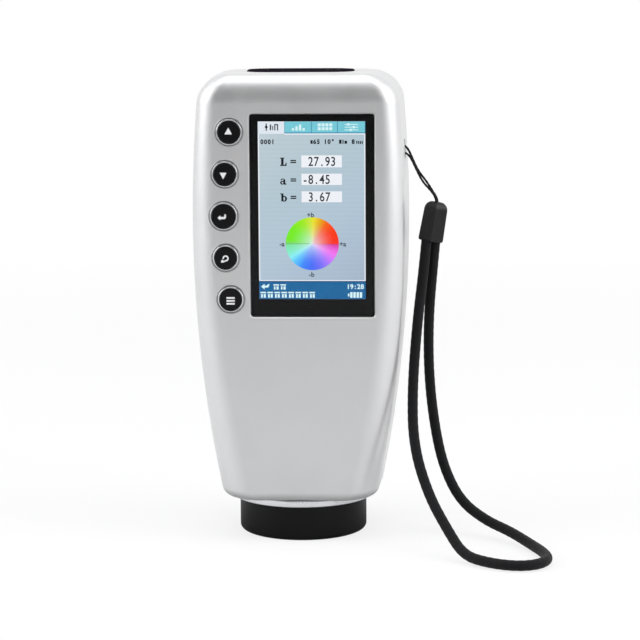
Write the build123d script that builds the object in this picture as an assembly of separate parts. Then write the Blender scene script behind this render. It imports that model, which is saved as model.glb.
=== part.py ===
from build123d import *
from math import cos, pi, radians, sin, sqrt, tan
import os

# Portable colorimeter, in millimetres.
# The origin is the centre of the calibration cap's flat bottom, +Z is up, and the display faces -Y.

# Case
FLOOR_Z = 14.0
RIM_RISE = 3.3
SHOULDER_Z = 144.7
TOP_RISE = 9.5
WIDEST_Z = 104.0
HALF_WIDTH = 35.75
FLOOR_HALF_WIDTH = 26.4
SHOULDER_HALF_WIDTH = 34.0
SIDE_DRAFT = 3.2
FRONT_DEPTH = 24.0
REAR_WIDEST_Z = 104.0
REAR_DEPTH = 33.0
FLOOR_REAR_DEPTH = 25.5
SHOULDER_REAR_DEPTH = 31.8
FRONT_EDGE_RADIUS_LOW = 10.0
FRONT_EDGE_RADIUS_HIGH = 7.0
REAR_EDGE_RADIUS = 16.0
TOP_SIDE_ROUND = 10.0
TOP_FRONT_ROUND = 6.0
TOP_REAR_ROUND = 12.0
TOP_FRONT_CORNER = 2.0
TOP_REAR_CORNER = 6.0
RIM_SIDE_ROUND = 3.3
RIM_FRONT_ROUND = 1.8
RIM_REAR_ROUND = 3.3
LEAST_ROUND = 0.3
WALL = 2.4
SEAM_Y = 2.0
SEAM_GROOVE = 0.5
SEAM_GROOVE_DEPTH = 0.5
MAIN_STEPS = 9
TURN_STEPS = 6

# General clearances
FIT = 0.15
RUN_GAP = 0.3
PRESS_GAP = 0.1
EDGE_BREAK = 0.25

# Display, seen from the front: its glass, the bright area and what lies behind
GLASS_LEFT = -15.32
GLASS_WIDTH = 40.3
GLASS_BOTTOM = 75.64
GLASS_HEIGHT = 65.82
GLASS_CORNER = 1.0
GLASS_THICKNESS = 1.3
GLASS_SET_BACK = 0.1
SCREEN_BORDER_LEFT = 2.6
SCREEN_BORDER_RIGHT = 3.2
SCREEN_BORDER_BOTTOM = 5.7
SCREEN_BORDER_TOP = 2.4
WINDOW_MARGIN = 1.2
PANEL_THICKNESS = 1.1
FRAME_THICKNESS = 3.2
FRAME_MARGIN = 1.0
FRAME_CORNER = 1.5

# Keys, on a shallow bow beside the glass
KEY_NAMES = ["key_up", "key_down", "key_enter", "key_back", "key_menu"]
MIDDLE_KEY = 2
KEY_MIDDLE_X = -23.9
KEY_MIDDLE_Z = 108.55
KEY_PITCH = 13.6
KEY_BOW_RADIUS = 184.0
KEY_RADIUS = 3.5
ENTER_KEY_EXTRA = 0.3
KEY_PROUD = 0.55
KEY_TRAVEL = 0.8
KEY_CROWN = 0.25
KEY_FLANGE_WIDTH = 0.9
KEY_FLANGE_THICKNESS = 0.8
KEY_STEM_RADIUS = 1.5
KEY_STEM_LENGTH = 0.4
RING_WIDTH = 0.5
RING_SEAT_DEPTH = 1.3
RING_PROUD = 0.35
RING_EDGE = 0.2
RING_GAP = 0.2
RING_GROOVE = 0.4

# Main board and what it carries
BOARD_STANDOFF = 6.0
BOARD_THICKNESS = 1.6
BOARD_SIDE_GAP = 3.0
BOARD_BELOW_GLASS = 5.0
BOARD_ABOVE_GLASS = 3.5
BOARD_CORNER = 1.0
KEY_SWITCH_SIDE = 6.0
KEY_SWITCH_BODY = 2.4
PLUNGER_RADIUS = 1.6
BOSS_RADIUS = 2.2
BOSS_INSET = 1.4
BOSS_KEY_STEPS = 1.5
SCREW_CORE_RADIUS = 0.8
SCREW_HOLE_RADIUS = 1.1
SCREW_HEAD_RADIUS = 1.8
SCREW_HEAD_HEIGHT = 1.3
SCREW_BITE = 3.5
CROSS_SLOT_WIDTH = 0.5
CROSS_SLOT_LENGTH = 2.0
CROSS_SLOT_DEPTH = 0.6
PROCESSOR_SIDE = 14.0
PROCESSOR_HEIGHT = 1.6
MEMORY_LENGTH = 10.0
MEMORY_WIDTH = 6.0
MEMORY_HEIGHT = 1.2
BUZZER_RADIUS = 4.5
BUZZER_HEIGHT = 3.5
BUZZER_HOLE_RADIUS = 1.0

# Case posts, joined by long screws from the back
POST_RADIUS = 2.9
POST_INSET = 3.6
POST_LOW_Z = 71.5
POST_HIGH_Z = 146.0
POST_SCREW_HEAD_RADIUS = 2.0
POST_SCREW_DEPTH = 9.0
POST_SCREW_BITE = 8.0

# Top panel with the ports and the power switch
TOP_PANEL_LENGTH = 35.5
TOP_PANEL_WIDTH = 20.0
TOP_PANEL_CORNER = 8.0
TOP_PANEL_PROUD = 0.45
TOP_PANEL_SEAT = 1.5
TOP_PANEL_LEDGE = 1.8
TOP_PANEL_EDGE = 0.4
PORT_PITCH = 10.5
PORT_BOARD_LENGTH = 33.0
PORT_BOARD_FRONT = 9.0
PORT_BOARD_REAR = 13.0
PORT_BOARD_DROP = 8.6
PORT_SET_BACK = 0.2
USB_LENGTH = 7.7
USB_WIDTH = 3.9
USB_WALL = 0.4
USB_TONGUE = 1.2
USB_DEPTH = 5.0
USB_CORNER = 0.8
JACK_SIDE = 8.0
JACK_NECK_RADIUS = 3.6
JACK_BORE_RADIUS = 2.75
JACK_PIN_RADIUS = 1.0
JACK_DEPTH = 6.0
JACK_BODY_HEIGHT = 6.0
SWITCH_BODY_LENGTH = 9.0
SWITCH_BODY_WIDTH = 4.4
SWITCH_BODY_HEIGHT = 5.0
SWITCH_TRAVEL = 3.0
KNOB_LENGTH = 2.6
KNOB_WIDTH = 2.0
KNOB_PROUD = 0.2
KNOB_BASE_LENGTH = 5.6
KNOB_BASE_WIDTH = 3.6
KNOB_BASE_HEIGHT = 0.8
KNOB_RIDGES = 3
KNOB_GROOVE = 0.3
PORT_POST_RADIUS = 2.2

# Test button in the back
TRIGGER_Z = 137.5
TRIGGER_WIDTH = 15.0
TRIGGER_HEIGHT = 11.0
TRIGGER_CORNER = 4.5
TRIGGER_PROUD = 1.4
TRIGGER_TRAVEL = 1.5
TRIGGER_EDGE = 0.8
TRIGGER_FLANGE_WIDTH = 1.2
TRIGGER_FLANGE_THICKNESS = 1.2
TRIGGER_BOARD_THICKNESS = 1.6
TRIGGER_BOARD_MARGIN = 5.6
TRIGGER_SWITCH_SIDE = 6.0
TRIGGER_SWITCH_HEIGHT = 3.4

# Battery bay in the back
CELL_RADIUS = 9.2
CELL_LENGTH = 65.0
CELL_BOTTOM_Z = 53.0
CELL_NIPPLE_RADIUS = 3.0
CELL_NIPPLE_HEIGHT = 0.8
CELL_EDGE = 0.8
CELL_SIDE_GAP = 0.5
CONTACT_GAP = 2.4
CONTACT_THICKNESS = 0.4
CONTACT_WIDTH = 9.0
CONTACT_STUD_RADIUS = 2.2
BAY_WALL = 1.6
BAY_RIM_DROP = 3.6
COVER_LAP = 1.6
COVER_CORNER = 3.0
COVER_SKIN = 1.8
COVER_SKIRT = 1.2
COVER_NOTCH_RADIUS = 5.0
COVER_NOTCH_DEPTH = 0.9

# Measuring nose, collar and integrating sphere
COLLAR_RADIUS = 23.4
COLLAR_BOTTOM_Z = 11.75
COLLAR_EDGE = 0.35
NOSE_RADIUS = 18.8
NOSE_WALL = 2.4
NOSE_BOTTOM_Z = 6.2
NOSE_FLOOR = 1.6
NOSE_FLANGE_RADIUS = 23.2
NOSE_FLANGE_THICKNESS = 2.0
NOSE_FLANGE_FLAT_GAP = 1.2
NOSE_HOLE_GAP = 0.2
COLLAR_SCREW_ANGLE = 31.0
COLLAR_SCREW_BITE = 1.7
APERTURE_RADIUS = 4.0
APERTURE_PLATE_RADIUS = 10.5
APERTURE_PLATE_THICKNESS = 1.0
APERTURE_BEVEL = 0.6
SPHERE_RADIUS = 14.0
SPHERE_WALL = 1.6
SPHERE_FLANGE_RADIUS = 19.4
SPHERE_FLANGE_THICKNESS = 1.8
SPHERE_SCREW_RADIUS = 17.6
SPHERE_SCREW_COUNT = 3
VIEW_TILT = 8.0
VIEW_BOSS_RADIUS = 5.0
BOSS_REACH = 3.0
VIEW_BORE_RADIUS = 2.5
LENS_TUBE_LENGTH = 12.0
LENS_TUBE_BORE = 3.4
LENS_THICKNESS = 2.0
SENSOR_BOARD_SIDE = 18.0
SENSOR_BOARD_THICKNESS = 1.2
SENSOR_RADIUS = 2.6
SENSOR_HEIGHT = 2.0
LAMP_LIFT = 35.0
LAMP_BOSS_RADIUS = 4.5
LAMP_BOARD_RADIUS = 5.5
LAMP_BOARD_THICKNESS = 1.2
LED_RADIUS = 1.8
LED_LENGTH = 2.6

# Calibration cap, which also carries the standing instrument
CAP_RADIUS = 21.4
CAP_EDGE = 1.7
CAP_FLOOR = 2.0
CAP_GAP = 0.3
TILE_RADIUS = 17.0
TILE_THICKNESS = 3.0
PAD_THICKNESS = 1.0
CAP_LIP = 0.4

# Lanyard eye in the right side
EYE_Y = -6.0
EYE_Z = 129.0
EYE_WIDTH = 3.4
EYE_HEIGHT = 6.4
EYE_DEPTH = 4.6
EYE_PIN_RADIUS = 0.7
EYE_PIN_SET_BACK = 2.0
EYE_PIN_BITE = 2.0
EYE_BLOCK_WALL = 2.0

# Wrist strap: bead, string and cord
STRING_DIAMETER = 0.75
CORD_DIAMETER = 3.4
BEAD_BOTTOM = (42.95, -6.0, 98.35)
BEAD_TILT = 9.7
BEAD_LENGTH = 13.25
BEAD_WIDTH_BOTTOM = 8.2
BEAD_WIDTH_TOP = 7.5
BEAD_DEPTH_BOTTOM = 7.4
BEAD_DEPTH_TOP = 6.4
BEAD_CROWN = 2.6
BEAD_FOOT = 0.8
BEAD_ROUND_STEPS = 5
BEAD_RIDGE_SHARE = 4.0

# The cord leaves the bead's underside, comes down to the floor, lies in a long loop and climbs back.
CORD_ROUTE = [
    (41.8, -7.1, 100.2),
    (40.85, -7.4, 89.5),
    (38.8, -10.0, 73.0),
    (37.1, -15.5, 51.0),
    (37.5, -22.5, 33.0),
    (42.4, -31.0, 18.4),
    (48.8, -39.4, 8.4),
    (53.8, -47.2, 2.3),
    (61.2, -54.8, 1.9),
    (69.8, -58.8, 1.9),
    (76.6, -57.0, 1.9),
    (80.6, -51.0, 1.9),
    (80.0, -42.6, 1.9),
    (75.8, -30.6, 1.9),
    (69.6, -20.8, 3.6),
    (61.4, -13.2, 5.6),
    (53.2, -7.4, 10.8),
    (47.7, -4.2, 21.2),
    (44.6, -2.7, 34.5),
    (42.5, -2.2, 52.5),
    (42.35, -3.4, 72.0),
    (43.75, -4.6, 89.4),
    (44.75, -4.9, 99.9),
]
# The string leaves the top of the bead, passes round the pin in the eye and comes back beside itself.
STRING_ROUTE = [
    (45.0, -6.6, 110.0),
    (44.9, -6.6, 112.4),
    (43.4, -6.6, 114.9),
    (40.4, -6.6, 118.0),
    (38.3, -6.6, 122.2),
    (36.4, -6.5, 126.3),
    (34.6, -6.3, 127.8),
    (31.4, -6.1, 127.6),
    (31.4, -5.9, 130.4),
    (34.0, -5.7, 130.3),
    (35.6, -5.5, 128.9),
    (36.9, -5.4, 126.0),
    (38.8, -5.4, 121.7),
    (41.6, -5.4, 118.2),
    (43.6, -5.4, 115.0),
    (45.3, -5.4, 112.4),
    (45.5, -5.4, 110.0),
]
CORD_RUN_SHARE = 0.45


def box(x0, x1, y0, y1, z0, z1):
    """A block between two corners."""
    return Pos((x0 + x1) / 2, (y0 + y1) / 2, (z0 + z1) / 2) * Box(x1 - x0, y1 - y0, z1 - z0)


def rounded_block(x0, x1, y0, y1, z0, z1, radius, along):
    """A block whose four edges along one axis are round."""
    block = box(x0, x1, y0, y1, z0, z1)
    return fillet(block.edges().filter_by(along), radius)


def rod(radius, start, end):
    """A round bar from one point to another."""
    way = Vector(*end) - Vector(*start)
    bar = Cylinder(radius, way.length, align=(Align.CENTER, Align.CENTER, Align.MIN))
    return Plane(origin=start, z_dir=way).location * bar


def upright(radius, z0, z1, x=0.0, y=0.0):
    """A round bar that stands along Z."""
    return rod(radius, (x, y, z0), (x, y, z1))


def along_y(radius, y0, y1, x, z):
    """A round bar that lies along Y."""
    return rod(radius, (x, y0, z), (x, y1, z))


def group(solids):
    """Separate solids kept as one named piece."""
    return Compound(children=list(solids))


def screw(seat, way, bite):
    """A pan-head screw whose head sits on seat and whose shank runs on along way."""
    origin = Vector(*seat)
    direction = Vector(*way)
    outward = origin - direction * SCREW_HEAD_HEIGHT
    head = rod(SCREW_HEAD_RADIUS, outward, seat)
    shank = rod(SCREW_CORE_RADIUS, seat, origin + direction * bite)
    slot_a = Box(CROSS_SLOT_LENGTH, CROSS_SLOT_WIDTH, 2 * CROSS_SLOT_DEPTH)
    slot_b = Box(CROSS_SLOT_WIDTH, CROSS_SLOT_LENGTH, 2 * CROSS_SLOT_DEPTH)
    place = Plane(origin=outward, z_dir=direction).location
    return head + shank - place * (slot_a + slot_b)


def screws_at(seats, way, bite):
    """Equal screws on several seats."""
    return group(screw(seat, way, bite) for seat in seats)


# The case's plan is a rounded rectangle whose sizes change with height and whose sides draw in
# towards the front.


def half_width(z):
    """Half the width of the case at a height."""
    if z < WIDEST_Z:
        share = (WIDEST_Z - z) / (WIDEST_Z - FLOOR_Z)
        return HALF_WIDTH - (HALF_WIDTH - FLOOR_HALF_WIDTH) * share ** 2
    share = (z - WIDEST_Z) / (SHOULDER_Z - WIDEST_Z)
    return HALF_WIDTH - (HALF_WIDTH - SHOULDER_HALF_WIDTH) * share ** 2


def rear_depth(z):
    """How far the back stands behind the neck's axis at a height."""
    if z < REAR_WIDEST_Z:
        share = (REAR_WIDEST_Z - z) / (REAR_WIDEST_Z - FLOOR_Z)
        return REAR_DEPTH - (REAR_DEPTH - FLOOR_REAR_DEPTH) * share ** 2
    share = (z - REAR_WIDEST_Z) / (SHOULDER_Z - REAR_WIDEST_Z)
    return REAR_DEPTH - (REAR_DEPTH - SHOULDER_REAR_DEPTH) * share ** 2


def front_edge_radius(z):
    """The radius of the upright edges beside the front face."""
    share = (z - FLOOR_Z) / (SHOULDER_Z - FLOOR_Z)
    return FRONT_EDGE_RADIUS_LOW + (FRONT_EDGE_RADIUS_HIGH - FRONT_EDGE_RADIUS_LOW) * share


def draw_in(y):
    """How much nearer the middle a side stands at a place in front of the seam."""
    return (SEAM_Y - y) * tan(radians(SIDE_DRAFT))


def plan(z, half, front, rear, front_radius, rear_radius):
    """One closed plan outline: a straight front and back, bent sides and four arcs."""
    def corner(x, y, radius, start, end):
        points = []
        for angle in (start, (start + end) / 2, end):
            turn = radians(angle)
            points.append((x + radius * cos(turn), y + radius * sin(turn), z))
        return ThreePointArc(*points)

    fy = front + front_radius
    fx = half - draw_in(fy) - front_radius / cos(radians(SIDE_DRAFT))
    rx = half - rear_radius
    ry = rear - rear_radius
    right = corner(fx, fy, front_radius, -90, -SIDE_DRAFT)
    left = corner(-fx, fy, front_radius, 180 + SIDE_DRAFT, 270)
    return Wire([
        Line((-fx, front, z), (fx, front, z)),
        right,
        Line(right @ 1, (half, SEAM_Y, z)),
        Line((half, SEAM_Y, z), (half, ry, z)),
        corner(rx, ry, rear_radius, 0, 90),
        Line((rx, rear, z), (-rx, rear, z)),
        corner(-rx, ry, rear_radius, 90, 180),
        Line((-half, ry, z), (-half, SEAM_Y, z)),
        Line((-half, SEAM_Y, z), left @ 0),
        left,
    ])


def wall_plan(z, inset, side=0.0, front=0.0, rear=0.0, front_corner=None, rear_corner=None):
    """The plan at a height, set in by a wall and by the rounding of the rim or the top."""
    front_radius = front_edge_radius(z) - inset
    rear_radius = REAR_EDGE_RADIUS - inset
    if front_corner is not None:
        front_radius = front_corner
        rear_radius = rear_corner
    return plan(
        z,
        half_width(z) - inset - side,
        -FRONT_DEPTH + inset + front,
        rear_depth(z) - inset - rear,
        front_radius,
        rear_radius,
    )


def case_form(inset):
    """The closed form of the case, drawn in by a wall's thickness."""
    low = FLOOR_Z + RIM_RISE
    main = []
    for step in range(MAIN_STEPS + 1):
        z = low + (SHOULDER_Z - low) * step / MAIN_STEPS
        main.append(wall_plan(z, inset))

    rim_side = max(RIM_SIDE_ROUND - inset, LEAST_ROUND)
    rim_front = max(RIM_FRONT_ROUND - inset, LEAST_ROUND)
    rim_rear = max(RIM_REAR_ROUND - inset, LEAST_ROUND)
    rim_rise = max(RIM_RISE - inset, LEAST_ROUND)
    rim = []
    for step in range(TURN_STEPS + 1):
        turn = pi / 2 * step / TURN_STEPS
        set_in = 1 - cos(turn)
        z = low - rim_rise * sin(turn)
        rim.append(wall_plan(z, inset, rim_side * set_in, rim_front * set_in, rim_rear * set_in))

    crown = []
    for step in range(TURN_STEPS + 1):
        turn = pi / 2 * step / TURN_STEPS
        set_in = 1 - cos(turn)
        z = SHOULDER_Z + (TOP_RISE - inset) * sin(turn)
        front_corner = (front_edge_radius(SHOULDER_Z) - inset) * cos(turn) + TOP_FRONT_CORNER * set_in
        rear_corner = (REAR_EDGE_RADIUS - inset) * cos(turn) + TOP_REAR_CORNER * set_in
        crown.append(wall_plan(
            z,
            inset,
            (TOP_SIDE_ROUND - inset) * set_in,
            (TOP_FRONT_ROUND - inset) * set_in,
            (TOP_REAR_ROUND - inset) * set_in,
            front_corner,
            rear_corner,
        ))
    form = Solid.make_loft(main)
    form = form + Solid.make_loft(list(reversed(rim)))
    return form + Solid.make_loft(crown)


# Places worked out from the driving sizes.
CASE_TOP = SHOULDER_Z + TOP_RISE
FRONT_Y = -FRONT_DEPTH
FRONT_INNER_Y = FRONT_Y + WALL
CASE_FLOOR_INNER = FLOOR_Z + RIM_RISE - max(RIM_RISE - WALL, LEAST_ROUND)
CASE_TOP_INNER = CASE_TOP - WALL
GLASS_RIGHT = GLASS_LEFT + GLASS_WIDTH
GLASS_TOP = GLASS_BOTTOM + GLASS_HEIGHT
GLASS_FRONT_Y = FRONT_Y + GLASS_SET_BACK
GLASS_BACK_Y = GLASS_FRONT_Y + GLASS_THICKNESS
SCREEN_LEFT = GLASS_LEFT + SCREEN_BORDER_LEFT
SCREEN_RIGHT = GLASS_RIGHT - SCREEN_BORDER_RIGHT
SCREEN_BOTTOM = GLASS_BOTTOM + SCREEN_BORDER_BOTTOM
SCREEN_TOP = GLASS_TOP - SCREEN_BORDER_TOP
BOARD_Y = FRONT_INNER_Y + BOARD_STANDOFF
BOARD_BACK_Y = BOARD_Y + BOARD_THICKNESS
BOARD_BOTTOM = GLASS_BOTTOM - BOARD_BELOW_GLASS
BOARD_TOP = GLASS_TOP + BOARD_ABOVE_GLASS
BOARD_HALF = half_width(BOARD_TOP) - WALL - BOARD_SIDE_GAP
SPHERE_Z = CASE_FLOOR_INNER + NOSE_FLANGE_THICKNESS + SPHERE_FLANGE_THICKNESS
NOSE_HOLE_RADIUS = NOSE_RADIUS + NOSE_HOLE_GAP
BOSS_X = BOARD_HALF - BOSS_INSET
POST_SPOTS = [
    (half_width(z) - WALL - POST_INSET, z) for z in (POST_LOW_Z, POST_HIGH_Z)
]
TOP_PANEL_SEAT_Z = CASE_TOP - TOP_PANEL_SEAT
TOP_PANEL_TOP_Z = CASE_TOP + TOP_PANEL_PROUD
PORT_BOARD_TOP_Z = CASE_TOP_INNER - PORT_BOARD_DROP
BAY_HALF = CELL_RADIUS + CELL_SIDE_GAP
BAY_BOTTOM = CELL_BOTTOM_Z - CONTACT_GAP
BAY_TOP = CELL_BOTTOM_Z + CELL_LENGTH + CELL_NIPPLE_HEIGHT + CONTACT_GAP
BAY_RIM_Y = rear_depth(BAY_BOTTOM) - BAY_RIM_DROP
COVER_HALF = BAY_HALF + COVER_LAP
COVER_BOTTOM = BAY_BOTTOM - COVER_LAP
COVER_TOP = BAY_TOP + COVER_LAP
CELL_Y = BAY_RIM_Y - CELL_RADIUS - CELL_SIDE_GAP
BAY_FLOOR_Y = CELL_Y - CELL_RADIUS - CELL_SIDE_GAP
BOARD_BOSS_SPOTS = []
for side in (-1, 1):
    for steps in (-BOSS_KEY_STEPS, BOSS_KEY_STEPS):
        BOARD_BOSS_SPOTS.append((side * BOSS_X, KEY_MIDDLE_Z + steps * KEY_PITCH))
CASE_POST_SPOTS = []
for side in (-1, 1):
    for spot_x, spot_z in POST_SPOTS:
        CASE_POST_SPOTS.append((side * spot_x, spot_z))
COLLAR_SCREW_RADIUS = (NOSE_HOLE_RADIUS + COLLAR_RADIUS) / 2
NOSE_FLANGE_TOP = CASE_FLOOR_INNER + NOSE_FLANGE_THICKNESS
COLLAR_SCREW_LENGTH = NOSE_FLANGE_TOP - FLOOR_Z + COLLAR_SCREW_BITE
COLLAR_SCREW_SPOTS = []
for side in (-1, 1):
    for end in (-1, 1):
        spot_x = side * COLLAR_SCREW_RADIUS * cos(radians(COLLAR_SCREW_ANGLE))
        spot_y = end * COLLAR_SCREW_RADIUS * sin(radians(COLLAR_SCREW_ANGLE))
        COLLAR_SCREW_SPOTS.append((spot_x, spot_y))
EYE_SIDE_X = half_width(EYE_Z) - draw_in(EYE_Y)
SWITCH_X = -PORT_PITCH


def key_place(index):
    """The centre of a key on the bow, counted from the top."""
    rise = (MIDDLE_KEY - index) * KEY_PITCH
    return KEY_MIDDLE_X + KEY_BOW_RADIUS - sqrt(KEY_BOW_RADIUS ** 2 - rise ** 2), KEY_MIDDLE_Z + rise


def key_radius(index):
    """The enter key, in the middle, is a little larger."""
    return KEY_RADIUS + (ENTER_KEY_EXTRA if index == MIDDLE_KEY else 0.0)


def seam_groove():
    """The shallow line round the case where the two shells meet."""
    slab = box(
        -2 * HALF_WIDTH, 2 * HALF_WIDTH,
        SEAM_Y - SEAM_GROOVE / 2, SEAM_Y + SEAM_GROOVE / 2,
        FLOOR_Z - RIM_RISE, CASE_TOP + TOP_RISE,
    )
    return (case_form(0.0) - case_form(SEAM_GROOVE_DEPTH)) & slab


def top_panel_hole():
    """The recess for the top panel and the smaller way through under it."""
    half_x = TOP_PANEL_LENGTH / 2 + FIT
    half_y = TOP_PANEL_WIDTH / 2 + FIT
    recess = rounded_block(
        -half_x, half_x, SEAM_Y - half_y, SEAM_Y + half_y,
        TOP_PANEL_SEAT_Z, CASE_TOP + TOP_RISE, TOP_PANEL_CORNER + FIT, Axis.Z,
    )
    half_x = half_x - TOP_PANEL_LEDGE
    half_y = half_y - TOP_PANEL_LEDGE
    way = rounded_block(
        -half_x, half_x, SEAM_Y - half_y, SEAM_Y + half_y,
        CASE_TOP_INNER - WALL, TOP_PANEL_SEAT_Z + FIT, TOP_PANEL_CORNER - TOP_PANEL_LEDGE, Axis.Z,
    )
    return recess + way


def neck_holes():
    """The round hole for the nose and the four collar screws in the case's floor."""
    holes = upright(NOSE_HOLE_RADIUS, FLOOR_Z - WALL, CASE_FLOOR_INNER + WALL)
    for x, y in COLLAR_SCREW_SPOTS:
        holes = holes + upright(SCREW_HOLE_RADIUS, FLOOR_Z - WALL, CASE_FLOOR_INNER + WALL, x, y)
    return holes


def front_half():
    """The space in front of the seam."""
    return box(
        -2 * HALF_WIDTH, 2 * HALF_WIDTH, -2 * FRONT_DEPTH, SEAM_Y, FLOOR_Z - WALL, CASE_TOP + WALL,
    )


def rear_half():
    """The space behind the seam."""
    return box(
        -2 * HALF_WIDTH, 2 * HALF_WIDTH, SEAM_Y, 2 * REAR_DEPTH, FLOOR_Z - WALL, CASE_TOP + WALL,
    )


def glass_recess():
    """The space for the glass, with its front edge broken."""
    left = GLASS_LEFT - FIT
    right = GLASS_RIGHT + FIT
    low = GLASS_BOTTOM - FIT
    high = GLASS_TOP + FIT
    corner = GLASS_CORNER + FIT
    recess = rounded_block(left, right, FRONT_Y - WALL, GLASS_BACK_Y, low, high, corner, Axis.Y)
    rims = []
    for y, spread in ((FRONT_Y - EDGE_BREAK, 2 * EDGE_BREAK), (FRONT_Y + EDGE_BREAK, 0.0)):
        middle = Vector((left + right) / 2, y, (low + high) / 2)
        rim = RectangleRounded(right - left + 2 * spread, high - low + 2 * spread, corner + spread)
        rims.append((Plane(origin=middle, x_dir=(1, 0, 0), z_dir=(0, -1, 0)) * rim).wire())
    return recess + Solid.make_loft(rims, True)


def key_seat(index):
    """The ring's seat, the key's way through the wall and the flat place for its flange."""
    x, z = key_place(index)
    way = key_radius(index) + RING_GAP
    seat = way + RING_WIDTH + RING_GROOVE
    flange = key_radius(index) + KEY_FLANGE_WIDTH + RUN_GAP
    space = along_y(seat, FRONT_Y - WALL, FRONT_Y + RING_SEAT_DEPTH, x, z)
    space = space + along_y(way, FRONT_Y, FRONT_INNER_Y + WALL, x, z)
    space = space + along_y(flange, FRONT_INNER_Y, FRONT_INNER_Y + WALL, x, z)
    rim = Cone(seat + 2 * EDGE_BREAK, seat, 2 * EDGE_BREAK)
    return space + Plane(origin=(x, FRONT_Y, z), z_dir=(0, 1, 0)).location * rim


def front_shell(outer, inner, groove):
    """The front half of the case, with the glass recess, the key seats and the lanyard eye."""
    shell = (outer - inner) & front_half()
    inside = []
    for x, z in BOARD_BOSS_SPOTS:
        inside.append(along_y(BOSS_RADIUS, FRONT_Y + WALL / 2, BOARD_Y, x, z))
    for x, z in CASE_POST_SPOTS:
        inside.append(along_y(POST_RADIUS, FRONT_Y + WALL / 2, SEAM_Y, x, z))
    inside.append(box(
        EYE_SIDE_X - EYE_DEPTH - EYE_BLOCK_WALL, EYE_SIDE_X - WALL / 2,
        EYE_Y - EYE_WIDTH / 2 - EYE_BLOCK_WALL, EYE_Y + EYE_WIDTH / 2 + EYE_BLOCK_WALL,
        EYE_Z - EYE_HEIGHT / 2 - EYE_BLOCK_WALL, EYE_Z + EYE_HEIGHT / 2 + EYE_BLOCK_WALL,
    ))
    for piece in inside:
        shell = shell + (piece & outer)
    shell = shell - glass_recess() - box(
        SCREEN_LEFT - WINDOW_MARGIN, SCREEN_RIGHT + WINDOW_MARGIN, FRONT_Y, FRONT_INNER_Y + WALL,
        SCREEN_BOTTOM - WINDOW_MARGIN, SCREEN_TOP + WINDOW_MARGIN,
    )
    for index in range(len(KEY_NAMES)):
        shell = shell - key_seat(index)
    for x, z in BOARD_BOSS_SPOTS:
        shell = shell - along_y(SCREW_CORE_RADIUS, BOARD_Y - SCREW_BITE, BOARD_Y, x, z)
    for x, z in CASE_POST_SPOTS:
        shell = shell - along_y(SCREW_CORE_RADIUS, SEAM_Y - POST_SCREW_BITE - FIT, SEAM_Y, x, z)
    shell = shell - box(
        EYE_SIDE_X - EYE_DEPTH, EYE_SIDE_X + WALL, EYE_Y - EYE_WIDTH / 2, EYE_Y + EYE_WIDTH / 2,
        EYE_Z - EYE_HEIGHT / 2, EYE_Z + EYE_HEIGHT / 2,
    )
    shell = shell - eye_pin()
    return shell - top_panel_hole() - neck_holes() - groove


def rear_shell(outer, inner, groove):
    """The back half of the case, with the battery bay, the button's hole and the posts."""
    shell = (outer - inner) & rear_half()
    inside = [box(
        -BAY_HALF - BAY_WALL, BAY_HALF + BAY_WALL, BAY_FLOOR_Y - BAY_WALL, 2 * REAR_DEPTH,
        BAY_BOTTOM - BAY_WALL, BAY_TOP + BAY_WALL,
    )]
    for x, z in CASE_POST_SPOTS:
        inside.append(along_y(POST_RADIUS, SEAM_Y, rear_depth(z), x, z))
    for side in (-1, 1):
        inside.append(trigger_post(side))
        inside.append(port_post(side))
    for piece in inside:
        shell = shell + (piece & outer)
    shell = shell - rounded_block(
        -COVER_HALF, COVER_HALF, BAY_RIM_Y, 2 * REAR_DEPTH, COVER_BOTTOM, COVER_TOP, COVER_CORNER, Axis.Y,
    )
    shell = shell - box(-BAY_HALF, BAY_HALF, BAY_FLOOR_Y, 2 * REAR_DEPTH, BAY_BOTTOM, BAY_TOP)
    shell = shell - trigger_block(RUN_GAP, SEAM_Y + WALL, 2 * REAR_DEPTH)
    for x, z in CASE_POST_SPOTS:
        shell = shell - along_y(SCREW_HOLE_RADIUS, SEAM_Y, 2 * REAR_DEPTH, x, z)
        shell = shell - along_y(
            POST_SCREW_HEAD_RADIUS + FIT, SEAM_Y + POST_SCREW_DEPTH, 2 * REAR_DEPTH, x, z,
        )
    for side in (-1, 1):
        shell = shell - trigger_post(side, SCREW_CORE_RADIUS)
        shell = shell - port_post(side, SCREW_CORE_RADIUS)
    return shell - top_panel_hole() - neck_holes() - groove


def trigger_inner_y():
    """The flat plane behind the test button that clears the curved wall."""
    top = TRIGGER_Z + TRIGGER_HEIGHT / 2 + TRIGGER_FLANGE_WIDTH
    turn = sqrt(max(0.0, 1 - (max(0.0, top - SHOULDER_Z) / (TOP_RISE - WALL)) ** 2))
    return rear_depth(top) - WALL - (TOP_REAR_ROUND - WALL) * (1 - turn)


def trigger_block(margin, y0, y1):
    """A round-cornered bar along Y in the test button's outline."""
    half = TRIGGER_WIDTH / 2 + margin
    rise = TRIGGER_HEIGHT / 2 + margin
    return rounded_block(
        -half, half, y0, y1, TRIGGER_Z - rise, TRIGGER_Z + rise, TRIGGER_CORNER + margin, Axis.Y,
    )


TRIGGER_FLANGE_Y = trigger_inner_y() - RUN_GAP
TRIGGER_BACK_Y = TRIGGER_FLANGE_Y - TRIGGER_FLANGE_THICKNESS
TRIGGER_SWITCH_Y = TRIGGER_BACK_Y - TRIGGER_TRAVEL - PRESS_GAP
TRIGGER_BOARD_Y = TRIGGER_SWITCH_Y - TRIGGER_SWITCH_HEIGHT
TRIGGER_BOARD_HALF = TRIGGER_WIDTH / 2 + TRIGGER_BOARD_MARGIN
TRIGGER_POST_X = TRIGGER_BOARD_HALF - BOSS_RADIUS


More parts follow.
